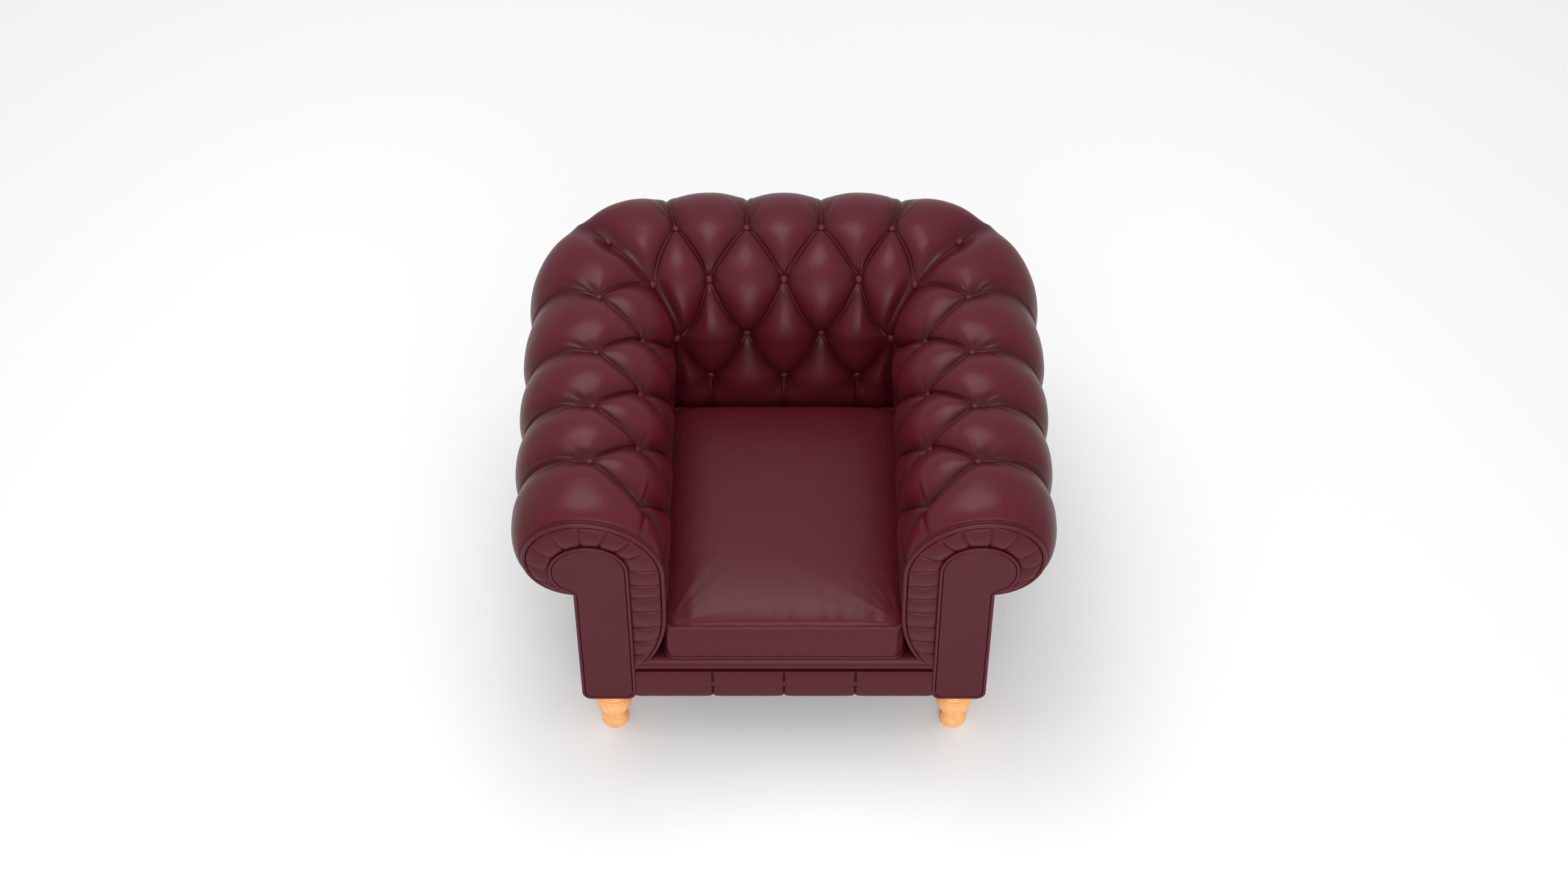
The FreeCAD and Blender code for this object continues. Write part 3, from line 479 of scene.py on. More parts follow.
# %% The mitre in the corner
CORNER_CENTRE_X, CORNER_CENTRE_DEPTH = 0.215, 0.646
STRAIGHT_COLUMN, BACK_STRAIGHT_COLUMN = 5.0, 2.0
STRAIGHT_DEPTH = FIRST_COLUMN + STRAIGHT_COLUMN * ARM_PITCH / 2
ROUNDING = 0.293
PULL_ROWS = [0.0, 0.15, 0.6, 1.0, 2.0, 3.0, 4.0, 5.0]
PULL_SIDE = [0, 0, -0.004, 0.010, 0.008, 0.006, 0.003, 0]
PULL_DEPTH = [0, 0, 0.034, 0.036, 0.018, 0.014, 0.006, 0]


def mitre(w):
    """Side, depth and height of the mitre pleat at net rows w.

    A square corner comes back to a circle when its point is pulled in by 1 - 1/sqrt(2) of
    its distance from the centre. Under the roll the full pull holds, and on top none.
    """
    v = true_row(w)
    ax, az, anx, anz = arm_section(v)
    by, bz, bny, bnz = back_section(v)
    lift = mitre_padding(w)
    outside = 1.0 - step(v, 0.45, 1.05)
    pull_x = ROUNDING * (ax - CORNER_CENTRE_X) * outside + np.interp(v, PULL_ROWS, PULL_SIDE)
    pull_y = ROUNDING * (by - CORNER_CENTRE_DEPTH) * outside + np.interp(v, PULL_ROWS, PULL_DEPTH)
    dip = 0.010 * np.exp(-((w - 1.05) / 0.25) ** 2)
    x = ax + lift * anx - pull_x - dip * 0.2
    y = by + lift * bny - pull_y - dip * 0.2
    z = (az + lift * anz + bz + lift * bnz) / 2 - dip
    return x, y, z


def arm_last_column(w):
    """Column of the mitre: 8 on the arm, or 5 on the back, over the roll, then one less a row."""
    return np.clip(9.0 - w, 6.0, 8.0)


def back_last_column(w):
    return arm_last_column(w) - 3.0


print("mitre at the buttons:", *(np.round(mitre(np.array(row)), 3) for row in (1.0, 2.0, 3.0)))

# %% [markdown]
# Where a button is drawn down through the padding, the leather sinks into a well and
# gathers into small radial ruffles. Both fade within a few centimetres.

# %% Wells and ruffles round the buttons
WELL_DEPTH, WELL_REACH = 0.0085, 0.0135
RUFFLE, RUFFLE_REACH = 0.0026, 0.017


def wells(u, w, column_size, row_size, buttons):
    """Change of height round the buttons: a bell-shaped well and a wavy ring of ruffles."""
    change = np.zeros_like(u)
    for number, (bu, bw) in enumerate(buttons):
        along = (u - bu) * column_size
        down = (w - bw) * row_size
        far = np.hypot(along, down)
        turn = np.arctan2(down, along)
        change -= WELL_DEPTH * np.exp(-(far / WELL_REACH) ** 2)
        ring = np.exp(-far / RUFFLE_REACH) * (1.0 - np.exp(-(far / 0.009) ** 2))
        wave = np.cos(10 * turn + 1.7 * number) + 0.6 * np.cos(15 * turn + 2.9 * number)
        change += RUFFLE * ring * wave * (0.55 + 0.45 * np.cos(turn + math.pi / 2))
    return change


ARM_BUTTONS = [(2.0 * k, 1.0) for k in range(4)] + [(2.0 * k + 1.0, 2.0) for k in range(-1, 3)]
CORNER_ROWS = (1.0, 2.0, 3.0)
BACK_BUTTONS = ([(b, 1.0) for b in (-3.0, -1.0, 1.0, 3.0)] + [(b, 2.0) for b in (-2.0, 0.0, 2.0)]
                + [(b, 3.0) for b in (-1.0, 1.0)] + [(b, 4.0) for b in (-2.0, 0.0, 2.0)])
print(2 * len(ARM_BUTTONS), "arm,", len(BACK_BUTTONS), "back and", 2 * len(CORNER_ROWS), "corner buttons")

# %% [markdown]
# A point of the leather needs three steps: the column says how far along the roll it lies,
# the row says where on the section, and the padding lifts it off the bare shape. Near the
# corner both arm and back are bent over to end on the mitre.

# %% Leather of the arm and of the back
ARM_ROW, BACK_ROW = 0.105, 0.112
ARM_BEND_DEPTH, BACK_BEND_X = 0.56, 0.17
PLEAT_REACH = 0.30
FRONT_CURVE = 0.075


def led_to(goal, place, normal, height, pleat, bend):
    """One coordinate of the leather, moved by a share bend until its pleat meets the goal."""
    return place + height * normal - (place + pleat * normal - goal) * bend


def arm_point(u, w):
    """Point of the right arm's leather and its fold value.

    The column gives the depth, straight up to the last plain column and then stretched to
    reach the mitre. The section, lifted by the padding along its normal, gives the rest.
    """
    v = true_row(w)
    x, z, nx, nz = arm_section(v)
    last = arm_last_column(w)
    mx, my, mz = mitre(w)
    share = np.clip((u - STRAIGHT_COLUMN) / (last - STRAIGHT_COLUMN), 0.0, 1.0)
    depth = np.where(u <= STRAIGHT_COLUMN, FIRST_COLUMN + u * ARM_PITCH / 2,
                     blend(STRAIGHT_DEPTH, my, share))
    slant = 0.014 * step(u, -1.5, 0.5) + 0.018 * np.exp(-((u - 6.0) / 1.2) ** 2)
    depth = depth - slant * (1.0 - step(share, 0.3, 1.0)) * step(1.0 - v, 0.05, 0.7)
    height, fold = padding(u, w, 3.0, True)
    height = height + wells(u, w, ARM_PITCH / 2, ARM_ROW, ARM_BUTTONS)
    crease = np.exp(-((w - 2.0) / 0.035) ** 2) * (1.0 - step(u, -1.15, -1.0))
    height = height - 0.004 * crease
    # Painted shade: the crease along row 2 gets the darker fold colour.
    fold = np.maximum(fold, 0.8 * crease)
    near = np.exp(-((last - u) / PLEAT_REACH) ** 2)
    near = np.where(share > 0, near, near * step(u, STRAIGHT_COLUMN - 1.0, STRAIGHT_COLUMN))
    pleat = mitre_padding(w)
    height = blend(height, pleat, near)
    front = np.clip((depth - BOARD_BACK + 0.004) / FRONT_CURVE, 0.0, 1.0)
    height = height * np.sqrt(1.0 - (1.0 - front) ** 2)
    bend = np.clip((depth - ARM_BEND_DEPTH) / (my - ARM_BEND_DEPTH), 0.0, 1.0)
    bend = bend ** blend(4.2, 2.0, step(v, 0.8, 1.4))
    px = led_to(mx, x, nx, height, pleat, bend)
    # Painted shade: the leather near the mitre pleat takes the fold share, so it is painted darker.
    return px, depth, led_to(mz, z, nz, height, pleat, bend), np.maximum(fold, near)


def back_point(b, w):
    """Point of the back's leather and its fold value, by the same rule turned a quarter."""
    v = true_row(w)
    y, z, ny, nz = back_section(v)
    last = back_last_column(w)
    mx, my, mz = mitre(w)
    side = np.abs(b)
    share = np.clip((side - BACK_STRAIGHT_COLUMN) / (last - BACK_STRAIGHT_COLUMN), 0.0, 1.0)
    start = BACK_STRAIGHT_COLUMN * BACK_PITCH / 2
    x = np.where(side <= BACK_STRAIGHT_COLUMN, side * BACK_PITCH / 2, blend(start, mx, share))
    height, fold = padding(b + 1.0, w, 4.0, False)
    height = height + wells(b, w, BACK_PITCH / 2, BACK_ROW, BACK_BUTTONS)
    near = np.where(share > 0, np.exp(-((last - side) / PLEAT_REACH) ** 2), 0.0)
    pleat = mitre_padding(w)
    height = blend(height, pleat, near)
    bend = np.clip((x - BACK_BEND_X) / (mx - BACK_BEND_X), 0.0, 1.0) ** blend(2.6, 2.0, step(v, 0.8, 1.4))
    py = led_to(my, y, ny, height, pleat, bend)
    return x * np.sign(b + 1e-12), py, led_to(mz, z, nz, height, pleat, bend), np.maximum(fold, near)

# %% [markdown]
# Each pad is a ring of rows that follows the leather round and closes over the frame inside
# the chair, so that it is a solid and not a paper skin. The rows and columns step evenly
# through the net, which puts a grid line exactly along every pleat.

# %% Arm pads and back pad
FINE = 40
rows = np.concatenate([np.linspace(0.0, 1.0, 84)[:-1], np.arange(1.0, 4.0, 1.0 / FINE),
                       np.linspace(4.0, 5.0, 22)])
columns = np.concatenate([np.linspace(-2.114, -2.0, 10)[:-1], np.arange(-2.0, STRAIGHT_COLUMN, 1.0 / FINE)])
back_columns = np.arange(0.0, BACK_STRAIGHT_COLUMN, 1.0 / FINE)
corner = np.linspace(0.0, 1.0, 110)
BOTH_SIDES = (("right", 1.0), ("left", -1.0))
ARM_INSIDE = ((0.300, 0.245, 0.701), (0.302, 0.585, 0.701), (0.400, 0.585, 0.800), (0.400, 0.500, 0.800))
BACK_INSIDE = ((0.701, 0.245, 0.300), (0.701, 0.585, 0.302), (0.830, 0.585, 0.370), (0.830, 0.500, 0.370))


def net_rows_columns(plain, straight_column, last_column):
    """Row and column of every point: plain columns, then a fan that ends on the mitre."""
    w = rows[:, None]
    straight = np.broadcast_to(plain[None, :], (len(rows), len(plain)))
    return w, np.hstack([straight, blend(straight_column, last_column(w), corner[None, :])])


def closed_with(outside, inside, fold):
    """Add the closing rows inside the frame, which get the full fold share and so the darkest painted shade.
    """
    return np.concatenate([outside, np.array(inside)]), np.vstack([fold, np.ones((4, fold.shape[1]))])


def arm_grid():
    """Rows by columns of the right arm, with the closing rows inside the frame."""
    w, u = net_rows_columns(columns, STRAIGHT_COLUMN, arm_last_column)
    x, depth, z, fold = arm_point(u, np.broadcast_to(w, u.shape))
    inside = []
    for side, height, end in ARM_INSIDE:
        run = np.concatenate([FIRST_COLUMN + columns * ARM_PITCH / 2, blend(STRAIGHT_DEPTH, end, corner)])
        inside.append(placed(side, run, height))
    return closed_with(placed(x, depth, z), inside, fold)


def back_grid():
    """Rows by columns of the back, mirrored about the middle."""
    w, half = net_rows_columns(back_columns, BACK_STRAIGHT_COLUMN, back_last_column)
    b = np.hstack([-half[:, ::-1], half[:, 1:]])
    x, depth, z, fold = back_point(b, np.broadcast_to(w, b.shape))
    inside = []
    for place, height, end in BACK_INSIDE:
        run = np.concatenate([back_columns * BACK_PITCH / 2, blend(BACK_PITCH, end, corner)])
        inside.append(placed(np.concatenate([-run[::-1], run[1:]]), place, height))
    return closed_with(placed(x, depth, z), inside, fold)


def mirrored(points, sign):
    """The same points, on the other side of the chair where sign is -1."""
    return points * np.array([sign, 1.0, 1.0])


def pad(name, grid, fold, replaces):
    """A closed, soft pad from a ring of rows."""
    grid = capped(grid)
    fold = np.hstack([np.ones((len(fold), 1)), fold, np.ones((len(fold), 1))])
    made = piece(name, grid.reshape(-1, 3), grid_faces(*grid.shape[:2], True), fold, replaces=(replaces,))
    print(name, len(made.data.polygons), "faces")


arm, arm_fold = arm_grid()
for side, sign in BOTH_SIDES:
    pad("arm_leather_" + side, mirrored(arm, sign), arm_fold, "arm_pad_" + side)
back, back_fold = back_grid()
pad("back_leather", back, back_fold, "back_pad")

# %% [markdown]
# The buttons are shallow domes covered in the same hide. A dome is a profile turned round
# the normal of the leather where it sits, half sunk in its well.

# %% Covered buttons
BUTTON_RADIUS, BUTTON_HEIGHT, CORNER_LIFT = 0.0085, 0.0048, 0.004
CORNER_TIPS = ((-0.35, -0.35, 1.0), (-0.6, -0.6, 0.8), (-0.8, -0.8, 0.3))


def dome(centre, normal, radius, height):
    """Closed dome of rings (rows, sides, 3): a quarter ellipse over a short skirt."""
    normal = normal / np.linalg.norm(normal)
    side = np.cross(normal, [0.0, 1.0, 0.3])
    side /= np.linalg.norm(side)
    other = np.cross(normal, side)
    rise = np.radians(np.linspace(0.0, 90.0, 9))
    reach = np.concatenate([[0.0, 0.85], np.cos(rise)]) * radius
    lift = np.concatenate([[-0.9, -0.9], np.sin(rise)]) * height
    turn = np.linspace(0.0, 2 * math.pi, 29)
    ring = side * np.cos(turn)[:, None] + other * np.sin(turn)[:, None]
    return centre + reach[:, None, None] * ring[None] + lift[:, None, None] * normal


def normal_at(point, u, w, outward):
    """Place and outward normal of a surface function at one column and row, by small steps."""
    def sample(du, dw):
        x, depth, z, _ = point(np.array([[u + du]]), np.array([[w + dw]]))
        return placed(x, depth, z)[0, 0]
    wide, tall = 0.22, 0.16
    normal = np.cross(sample(wide, 0.0) - sample(-wide, 0.0), sample(0.0, tall) - sample(0.0, -tall))
    return sample(0.0, 0.0), normal / np.linalg.norm(normal) * (1 if np.dot(normal, outward) > 0 else -1)


def joined(name, grids, replaces, material=LEATHER_TRIM, fold=0.15):
    """Several grids of one shape as one piece."""
    points = np.concatenate([grid.reshape(-1, 3) for grid in grids])
    one = grid_faces(*grids[0].shape[:2], False)
    faces = np.concatenate([one + k * (len(points) // len(grids)) for k in range(len(grids))])
    print(name, len(grids))
    return piece(name, points, faces, fold, replaces=replaces, material=material)


def seated(point, buttons, outward, lift):
    """A dome at every button, lifted from the bottom of its well by lift(row)."""
    made = []
    for u, w in buttons:
        place, normal = normal_at(point, u, w, np.array(outward))
        made.append(dome(place + normal * lift(w), normal, BUTTON_RADIUS, BUTTON_HEIGHT))
    return made


arm_domes = seated(arm_point, ARM_BUTTONS, (-0.5, 0.0, 1.0), lambda row: 0.0015)
for side, sign in BOTH_SIDES:
    joined("arm_buttons_dressed_" + side, [mirrored(d, sign) for d in arm_domes], ("arm_buttons_" + side,))
back_domes = seated(back_point, BACK_BUTTONS, (0.0, -0.5, 1.0), lambda row: 0.003 if row < 3 else 0.008)
joined("back_buttons_dressed", back_domes, ("back_buttons",))
corner_domes = []
for row, tip in zip(CORNER_ROWS, CORNER_TIPS):
    way = np.array(tip) / np.linalg.norm(tip)
    seat = placed(*mitre(np.array([row])))[0]
    corner_domes.append(dome(seat + way * CORNER_LIFT, way, BUTTON_RADIUS, BUTTON_HEIGHT))
joined("corner_buttons_dressed", [mirrored(d, sign) for _, sign in BOTH_SIDES for d in corner_domes],
       ("corner_buttons",))

# %% [markdown]
# Piping is a cord sewn into a folded strip of leather. A tube along a path is enough: at each
# point of the path a ring stands square to it.

# %% Piping
SIDES = 14
TO_FRONT, UP = (0, 1, 0), (0, 0, 1)


def tube(path, flat, radius, closed):
    """Rings (points, sides, 3) along a path whose plane has the normal flat."""
    if closed:
        heading = np.roll(path, -1, axis=0) - np.roll(path, 1, axis=0)
    else:
        heading = np.gradient(path, axis=0)
    heading /= np.linalg.norm(heading, axis=1, keepdims=True)
    side = np.cross(heading, flat)
    side /= np.linalg.norm(side, axis=1, keepdims=True)
    up = np.cross(side, heading)
    turn = np.linspace(0.0, 2 * math.pi, SIDES + 1)[None, :, None]
    return path[:, None] + radius * (np.cos(turn) * side[:, None] + np.sin(turn) * up[:, None])


def piping(name, path, flat, radius, replaces, closed=False, body="chair"):
    """A cord in its strip of leather: a loop, or a run whose ends are drawn to a point."""
    rings = tube(path, flat, radius, closed)
    if not closed:
        rings = capped(rings.transpose(1, 0, 2)).transpose(1, 0, 2)
    faces = grid_faces(*rings.shape[:2], closed)
    print(name, "radius", radius)
    return piece(name, rings.reshape(-1, 3), faces, 0.1, body, replaces, LEATHER_TRIM)


def front_line(v, depth, inset=0.0):
    """The arm's front outline at rows v, moved inwards by inset."""
    x, z, nx, nz = arm_section(v)
    return placed(x - inset * nx, depth, z - inset * nz)


welt_rows = np.concatenate([np.linspace(0.0, 1.0, 90)[:-1], np.linspace(1.0, 4.93, 120)])
edge = front_line(welt_rows, depth=0.0045)
for side, sign in BOTH_SIDES:
    piping("scroll_piping_" + side, mirrored(edge, sign), TO_FRONT, 0.0045, ("scroll_welt_" + side,))
ridge = front_line(welt_rows, depth=0.0125, inset=-0.0006)
for side, sign in BOTH_SIDES:
    piping("scroll_cord_" + side, mirrored(ridge, sign), TO_FRONT, 0.0036, ())

# %% [markdown]
# The facing is a flat board covered in leather: a leg with a round head that hooks outwards.
# Its outline is made of arcs and lines, and a few smaller copies of the outline, each a
# little further forward, round its edge over.

# %% Outline of the facing
FACING_IN, FACING_OUT, FACING_LOW = 0.318, 0.418, 0.146
HEAD_RADIUS, HEAD_Z = 0.0735, 0.575
HEAD_X = FACING_IN + HEAD_RADIUS
HOOK_ANGLE, THROAT_RADIUS, FOOT_RADIUS = -42.0, 0.032, 0.014


def arc(cx, cz, radius, start, end, count):
    """Points (count, 2) of an arc between two angles in degrees."""
    turn = np.radians(np.linspace(start, end, count))
    return np.stack([cx + radius * np.cos(turn), cz + radius * np.sin(turn)], -1)


def facing_outline(grow):
    """Closed outline (n, 2) in side and height, grown outwards by grow: the head from the
    inner edge to the hook, a hollow throat down to the outer edge, and the foot."""
    inner, outer, low = FACING_IN - grow, FACING_OUT + grow, FACING_LOW - grow
    round_foot = FOOT_RADIUS + grow
    head = arc(HEAD_X, HEAD_Z, HEAD_RADIUS + grow, 180.0, HOOK_ANGLE, 60)
    way = math.radians(HOOK_ANGLE)
    hollow = THROAT_RADIUS - grow
    centre = head[-1] + hollow * np.array([math.cos(way), math.sin(way)])
    throat = arc(centre[0], centre[1], hollow, HOOK_ANGLE + 180.0, 180.0, 14)
    throat = throat + np.linspace(0.0, 1.0, 14)[:, None] * np.array([outer - throat[-1, 0], 0.0])
    low_out = arc(outer - round_foot, low + round_foot, round_foot, 0.0, -90.0, 9)
    low_in = arc(inner + round_foot, low + round_foot, round_foot, -90.0, -180.0, 9)
    side_down = np.linspace(throat[-1], low_out[0], 24)[1:-1]
    base = np.linspace(low_out[-1], low_in[0], 8)[1:-1]
    side_up = np.linspace(low_in[-1], head[0], 24)[1:-1]
    return np.concatenate([head, throat[1:], side_down, low_out, base, low_in, side_up])

# %% [markdown]
# The board's edge is a stack of those outlines, from the rear to the front. Only the strips
# between them are shaded smooth, so that the front stays flat.

# %% Facings
EDGE_STEPS = [(-0.0002, 0.004), (0.0, -0.002), (-0.0005, -0.0042), (-0.0018, -0.0056), (-0.0040, -0.0062)]
RIM_GROW, RIM_DEPTH, RIM_RADIUS = 0.0036, -0.0036, 0.0035


def plate(name, replaces, sign):
    """Leather-covered board from rings of its outline, capped front and back."""
    outlines = [facing_outline(grow) for grow, _ in EDGE_STEPS]
    rings = np.array([placed(sign * line[:, 0], depth, line[:, 1])
                      for line, (_, depth) in zip(outlines, EDGE_STEPS)])
    count = rings.shape[1]
    index = np.arange(rings.shape[0] * count).reshape(-1, count)
    faces = grid_faces(rings.shape[0], count, False).tolist()
    faces += np.stack([index[:-1, -1], index[:-1, 0], index[1:, 0], index[1:, -1]], -1).tolist()
    faces += [index[0].tolist(), index[-1, ::-1].tolist()]
    made = piece(name, rings.reshape(-1, 3), faces, 0.25, replaces=replaces)
    for face in made.data.polygons:
        face.use_smooth = len(face.vertices) == 4


for side, sign in BOTH_SIDES:
    plate("facing_dressed_" + side, ("facing_" + side,), sign)
rim = facing_outline(RIM_GROW)
for side, sign in BOTH_SIDES:
    path = placed(sign * rim[:, 0], RIM_DEPTH, rim[:, 1])
    piping("facing_piping_" + side, path, TO_FRONT, RIM_RADIUS, ("facing_welt_" + side,), closed=True)

# %% [markdown]
# Between the two lines of piping lies a border of leather gathered into pleats. Each pleat
# is a fold that climbs slowly and drops sharply onto the next, so its height is a saw tooth
# of the way along the border. Across the border it is padded like a sausage.

# %% Gathered border round the scroll
HEAD_SHARE = 0.58
BORDER_LOW, BORDER_BACK = 0.250, 0.0085
OUTER_INSET, INNER_GROW = 0.005, 0.0028
HEAD_AND_THROAT = 74
HEAD_FOLDS, LEG_FOLDS = 10, 7


def bearing(x, z):
    """Direction from the middle of the facing's head, in degrees, from -90 to 270."""
    turn = np.degrees(np.arctan2(z - HEAD_Z, x - HEAD_X))
    return np.where(turn < -90.0, turn + 360.0, turn)


def border_curves(s):
    """Outer and inner edges of the border at s, 0 under the scroll and 1 at the hem.

    Round the head both edges are read at the same angle about its centre, so the creases
    stand radially; down the leg they are read at the same height, so the creases lie flat.
    """
    v = np.linspace(0.02, 5.0, 900)
    x, z, nx, nz = arm_section(v)
    x, z = x - OUTER_INSET * nx, z - OUTER_INSET * nz
    turn = bearing(x, z)
    upper, leg = turn <= 181.0, v > 2
    inner = facing_outline(INNER_GROW)[:HEAD_AND_THROAT]
    inner = inner[np.argsort(bearing(*inner.T))]
    inner_turn = bearing(*inner.T)
    angle = np.interp(s, [0.0, HEAD_SHARE], [-66.0, 180.0])
    height = np.interp(s, [HEAD_SHARE, 1.0], [HEAD_Z, BORDER_LOW])
    round_head = [np.interp(angle, turn[upper], x[upper]), np.interp(angle, turn[upper], z[upper]),
                  np.interp(angle, inner_turn, inner[:, 0]), np.interp(angle, inner_turn, inner[:, 1])]
    down_leg = [np.interp(-height, -z[leg], x[leg]), height, FACING_IN - INNER_GROW, height]
    return [np.where(s < HEAD_SHARE, a, b) for a, b in zip(round_head, down_leg)]


def border(name, replaces, sign, seed):
    """Border as a grid: s along it, t across it from the outer piping to the inner."""
    random = np.random.default_rng(seed)
    knots = np.concatenate([np.linspace(0.0, HEAD_SHARE, HEAD_FOLDS + 1),
                            np.linspace(HEAD_SHARE, 1.0, LEG_FOLDS + 1)[1:]])
    knots[1:-1] += random.uniform(-0.006, 0.006, len(knots) - 2)
    s = np.linspace(0.0, 1.0, 640)[:, None]
    t = np.linspace(0.0, 1.0, 26)[None, :]
    lean = np.interp(s, [0.0, HEAD_SHARE, 1.0], [0.010, 0.004, -0.012])
    place = np.clip(s + lean * (t - 0.5), 0.0, 1.0)
    number = np.clip(np.searchsorted(knots, place, side="right") - 1, 0, len(knots) - 2)
    along = (place - knots[number]) / (knots[number + 1] - knots[number])
    tooth = np.sin(np.pi * along ** 0.75) ** 0.55
    crease = np.exp(-(np.minimum(along, 1.0 - along) / 0.05) ** 2)
    puff = np.sin(np.pi * t) ** 0.6
    gather = 0.0005 * np.sin(70.0 * place + 9.0 * number) * puff
    depth = 0.0022 - 0.0034 * puff - 0.0052 * tooth * puff - gather + 0.0012 * crease
    outer_x, outer_z, inner_x, inner_z = border_curves(s)
    x, z = sign * blend(outer_x, inner_x, t), blend(outer_z, inner_z, t)
    grid = np.concatenate([placed(x, depth, z), placed(x, BORDER_BACK, z)[:, ::-1]], axis=1)
    grid = capped(grid.transpose(1, 0, 2))
    # Painted shade: the border's creases get the darker fold colour, and its hidden back gets all of it.
    fold = np.concatenate([crease * 0.9, np.ones_like(crease)], axis=1).T
    fold = np.hstack([fold[:, :1], fold, fold[:, -1:]])
    piece(name, grid.reshape(-1, 3), grid_faces(*grid.shape[:2], True), fold, replaces=replaces)
    print(name, len(knots) - 1, "folds")


for (side, sign), seed in zip(BOTH_SIDES, (4, 9)):
    border("scroll_border_" + side, ("scroll_fan_" + side,), sign, seed)

# %% [markdown]
# The seat cushion is a box of foam in a leather cover, with piping in both seams. From above
# it is a rectangle with round corners. The leather is eased in by hand, so that the seams
# wander a little.

# %% Plan and seams of the cushion
CUSHION_LOW, CUSHION_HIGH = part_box("cushion_welt_bottom"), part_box("cushion_welt_top")
CUSHION_HALF = CUSHION_HIGH[1][0] + 0.0035
CUSHION_FRONT = CUSHION_HIGH[0][1] + 0.004
CUSHION_REAR = CUSHION_HIGH[1][1] + 0.014
SEAM_LOW = (CUSHION_LOW[0][2] + CUSHION_LOW[1][2]) / 2
SEAM_HIGH = (CUSHION_HIGH[0][2] + CUSHION_HIGH[1][2]) / 2
FRONT_CORNER, REAR_CORNER = 0.026, 0.045
AROUND = 481
WAVES = (7, 11, 17, 23, 31, 41)


def evenly(line, count):
    """The same line (n, 2) as count points at even distances along it."""
    length = np.concatenate([[0.0], np.cumsum(np.linalg.norm(np.diff(line, axis=0), axis=1))])
    even = np.linspace(0.0, length[-1], count)
    return np.stack([np.interp(even, length, line[:, k]) for k in (0, 1)], -1)


def plan():
    """Closed rounded rectangle, from the middle of the front: one half and its mirror image."""
    half = np.concatenate([
        [[0.0, CUSHION_FRONT]],
        arc(CUSHION_HALF - FRONT_CORNER, CUSHION_FRONT + FRONT_CORNER, FRONT_CORNER, -90, 0, 12),
        arc(CUSHION_HALF - REAR_CORNER, CUSHION_REAR - REAR_CORNER, REAR_CORNER, 0, 90, 12)])
    return evenly(np.concatenate([half, half[::-1] * np.array([-1.0, 1.0])]), AROUND)


def seam_wave(seed, size):
    """A slow, even wandering along the closed seam, from a few waves with fixed phases."""
    random = np.random.default_rng(seed)
    turn = np.linspace(0.0, 2 * math.pi, AROUND)
    return size * sum(np.sin(n * turn + random.uniform(0, 6.28)) / n ** 0.5 for n in WAVES) / 2.0


ring = plan()
middle = np.array([0.0, (CUSHION_FRONT + CUSHION_REAR) / 2])
top_wave, low_wave = seam_wave(3, 0.0011), seam_wave(8, 0.0010)
print("cushion", round(2 * CUSHION_HALF, 3), "wide and", round(CUSHION_REAR - CUSHION_FRONT, 3), "deep")

# %% [markdown]
# The foam lifts the middle of the top to a crown. The cover is cut a little too large, so the
# leather drags from the front corners and puckers along its edges, and at the rear the top
# rolls down under the back pad.

# %% Top of the cushion
CROWN = 0.026
ROLL_LENGTH, ROLL_DROP = 0.034, 0.030


def rear_drop(y):
    """How far the top rolls down over its last few centimetres, as a quarter circle does."""
    t = np.clip((y - CUSHION_REAR + ROLL_LENGTH) / (ROLL_LENGTH + 0.002), 0.0, 1.0)
    return ROLL_DROP * (1.0 - np.sqrt(1.0 - t * t))


def crown_height(x, y):
    """Crown of the top: full in the middle and nothing along the seams."""
    across = np.clip(1.0 - np.abs(x / CUSHION_HALF) ** 4.0, 0.0, 1.0)
    half_depth = (CUSHION_REAR - CUSHION_FRONT) / 2
    along = np.clip(1.0 - np.abs((y - middle[1]) / half_depth) ** 6.0, 0.0, 1.0)
    return CROWN * across ** 0.7 * along ** 0.7


def drag(x, y, seed):
    """Drag lines that fan out from the front corners, and puckers along the front and sides.

    Each is a sum of sine waves that fades out with the distance from its corner or edge.
    """
    random = np.random.default_rng(seed)
    height = np.zeros_like(x)
    for sign in (-1.0, 1.0):
        dx, dy = x - sign * (CUSHION_HALF - 0.01), y - (CUSHION_FRONT + 0.01)
        far = np.hypot(dx, dy)
        turn = np.arctan2(dy, -sign * dx)
        fade = np.exp(-(far / 0.12)) * step(far, 0.004, 0.05)
        for n in (9, 14, 22):
            height += np.sin(n * turn + random.uniform(0, 6.28)) / n ** 0.5 * fade
    front_pull = np.exp(-(y - CUSHION_FRONT) / 0.035)
    for n in (19, 31, 47):
        height += 0.30 * np.sin(n * x / 0.245 + random.uniform(0, 6.28)) * front_pull
    side_pull = np.exp(-(CUSHION_HALF - np.abs(x)) / 0.03)
    slanted = (y + 0.35 * np.abs(x)) / 0.3
    for n in (18, 31, 47):
        height += 0.25 * np.sin(n * slanted + random.uniform(0, 6.28)) * side_pull
    return 0.0012 * height

# %% [markdown]
# Rings of the plan, from the middle of the underside up the border and in over the top, make
# the cushion one closed surface. The border wrinkles most at the front corners, where the
# leather turns.

# %% Seat cushion
UNDER_INSET, TOP_INSET = 0.012, 0.004
BORDER_BULGE, WRINKLE = 0.004, 0.0009
EDGE_WAVE = 0.001


def shrunk(share):
    """The plan drawn in towards its middle by a share: 1 is the seam, 0 the middle."""
    return middle + (ring - middle)[None] * share


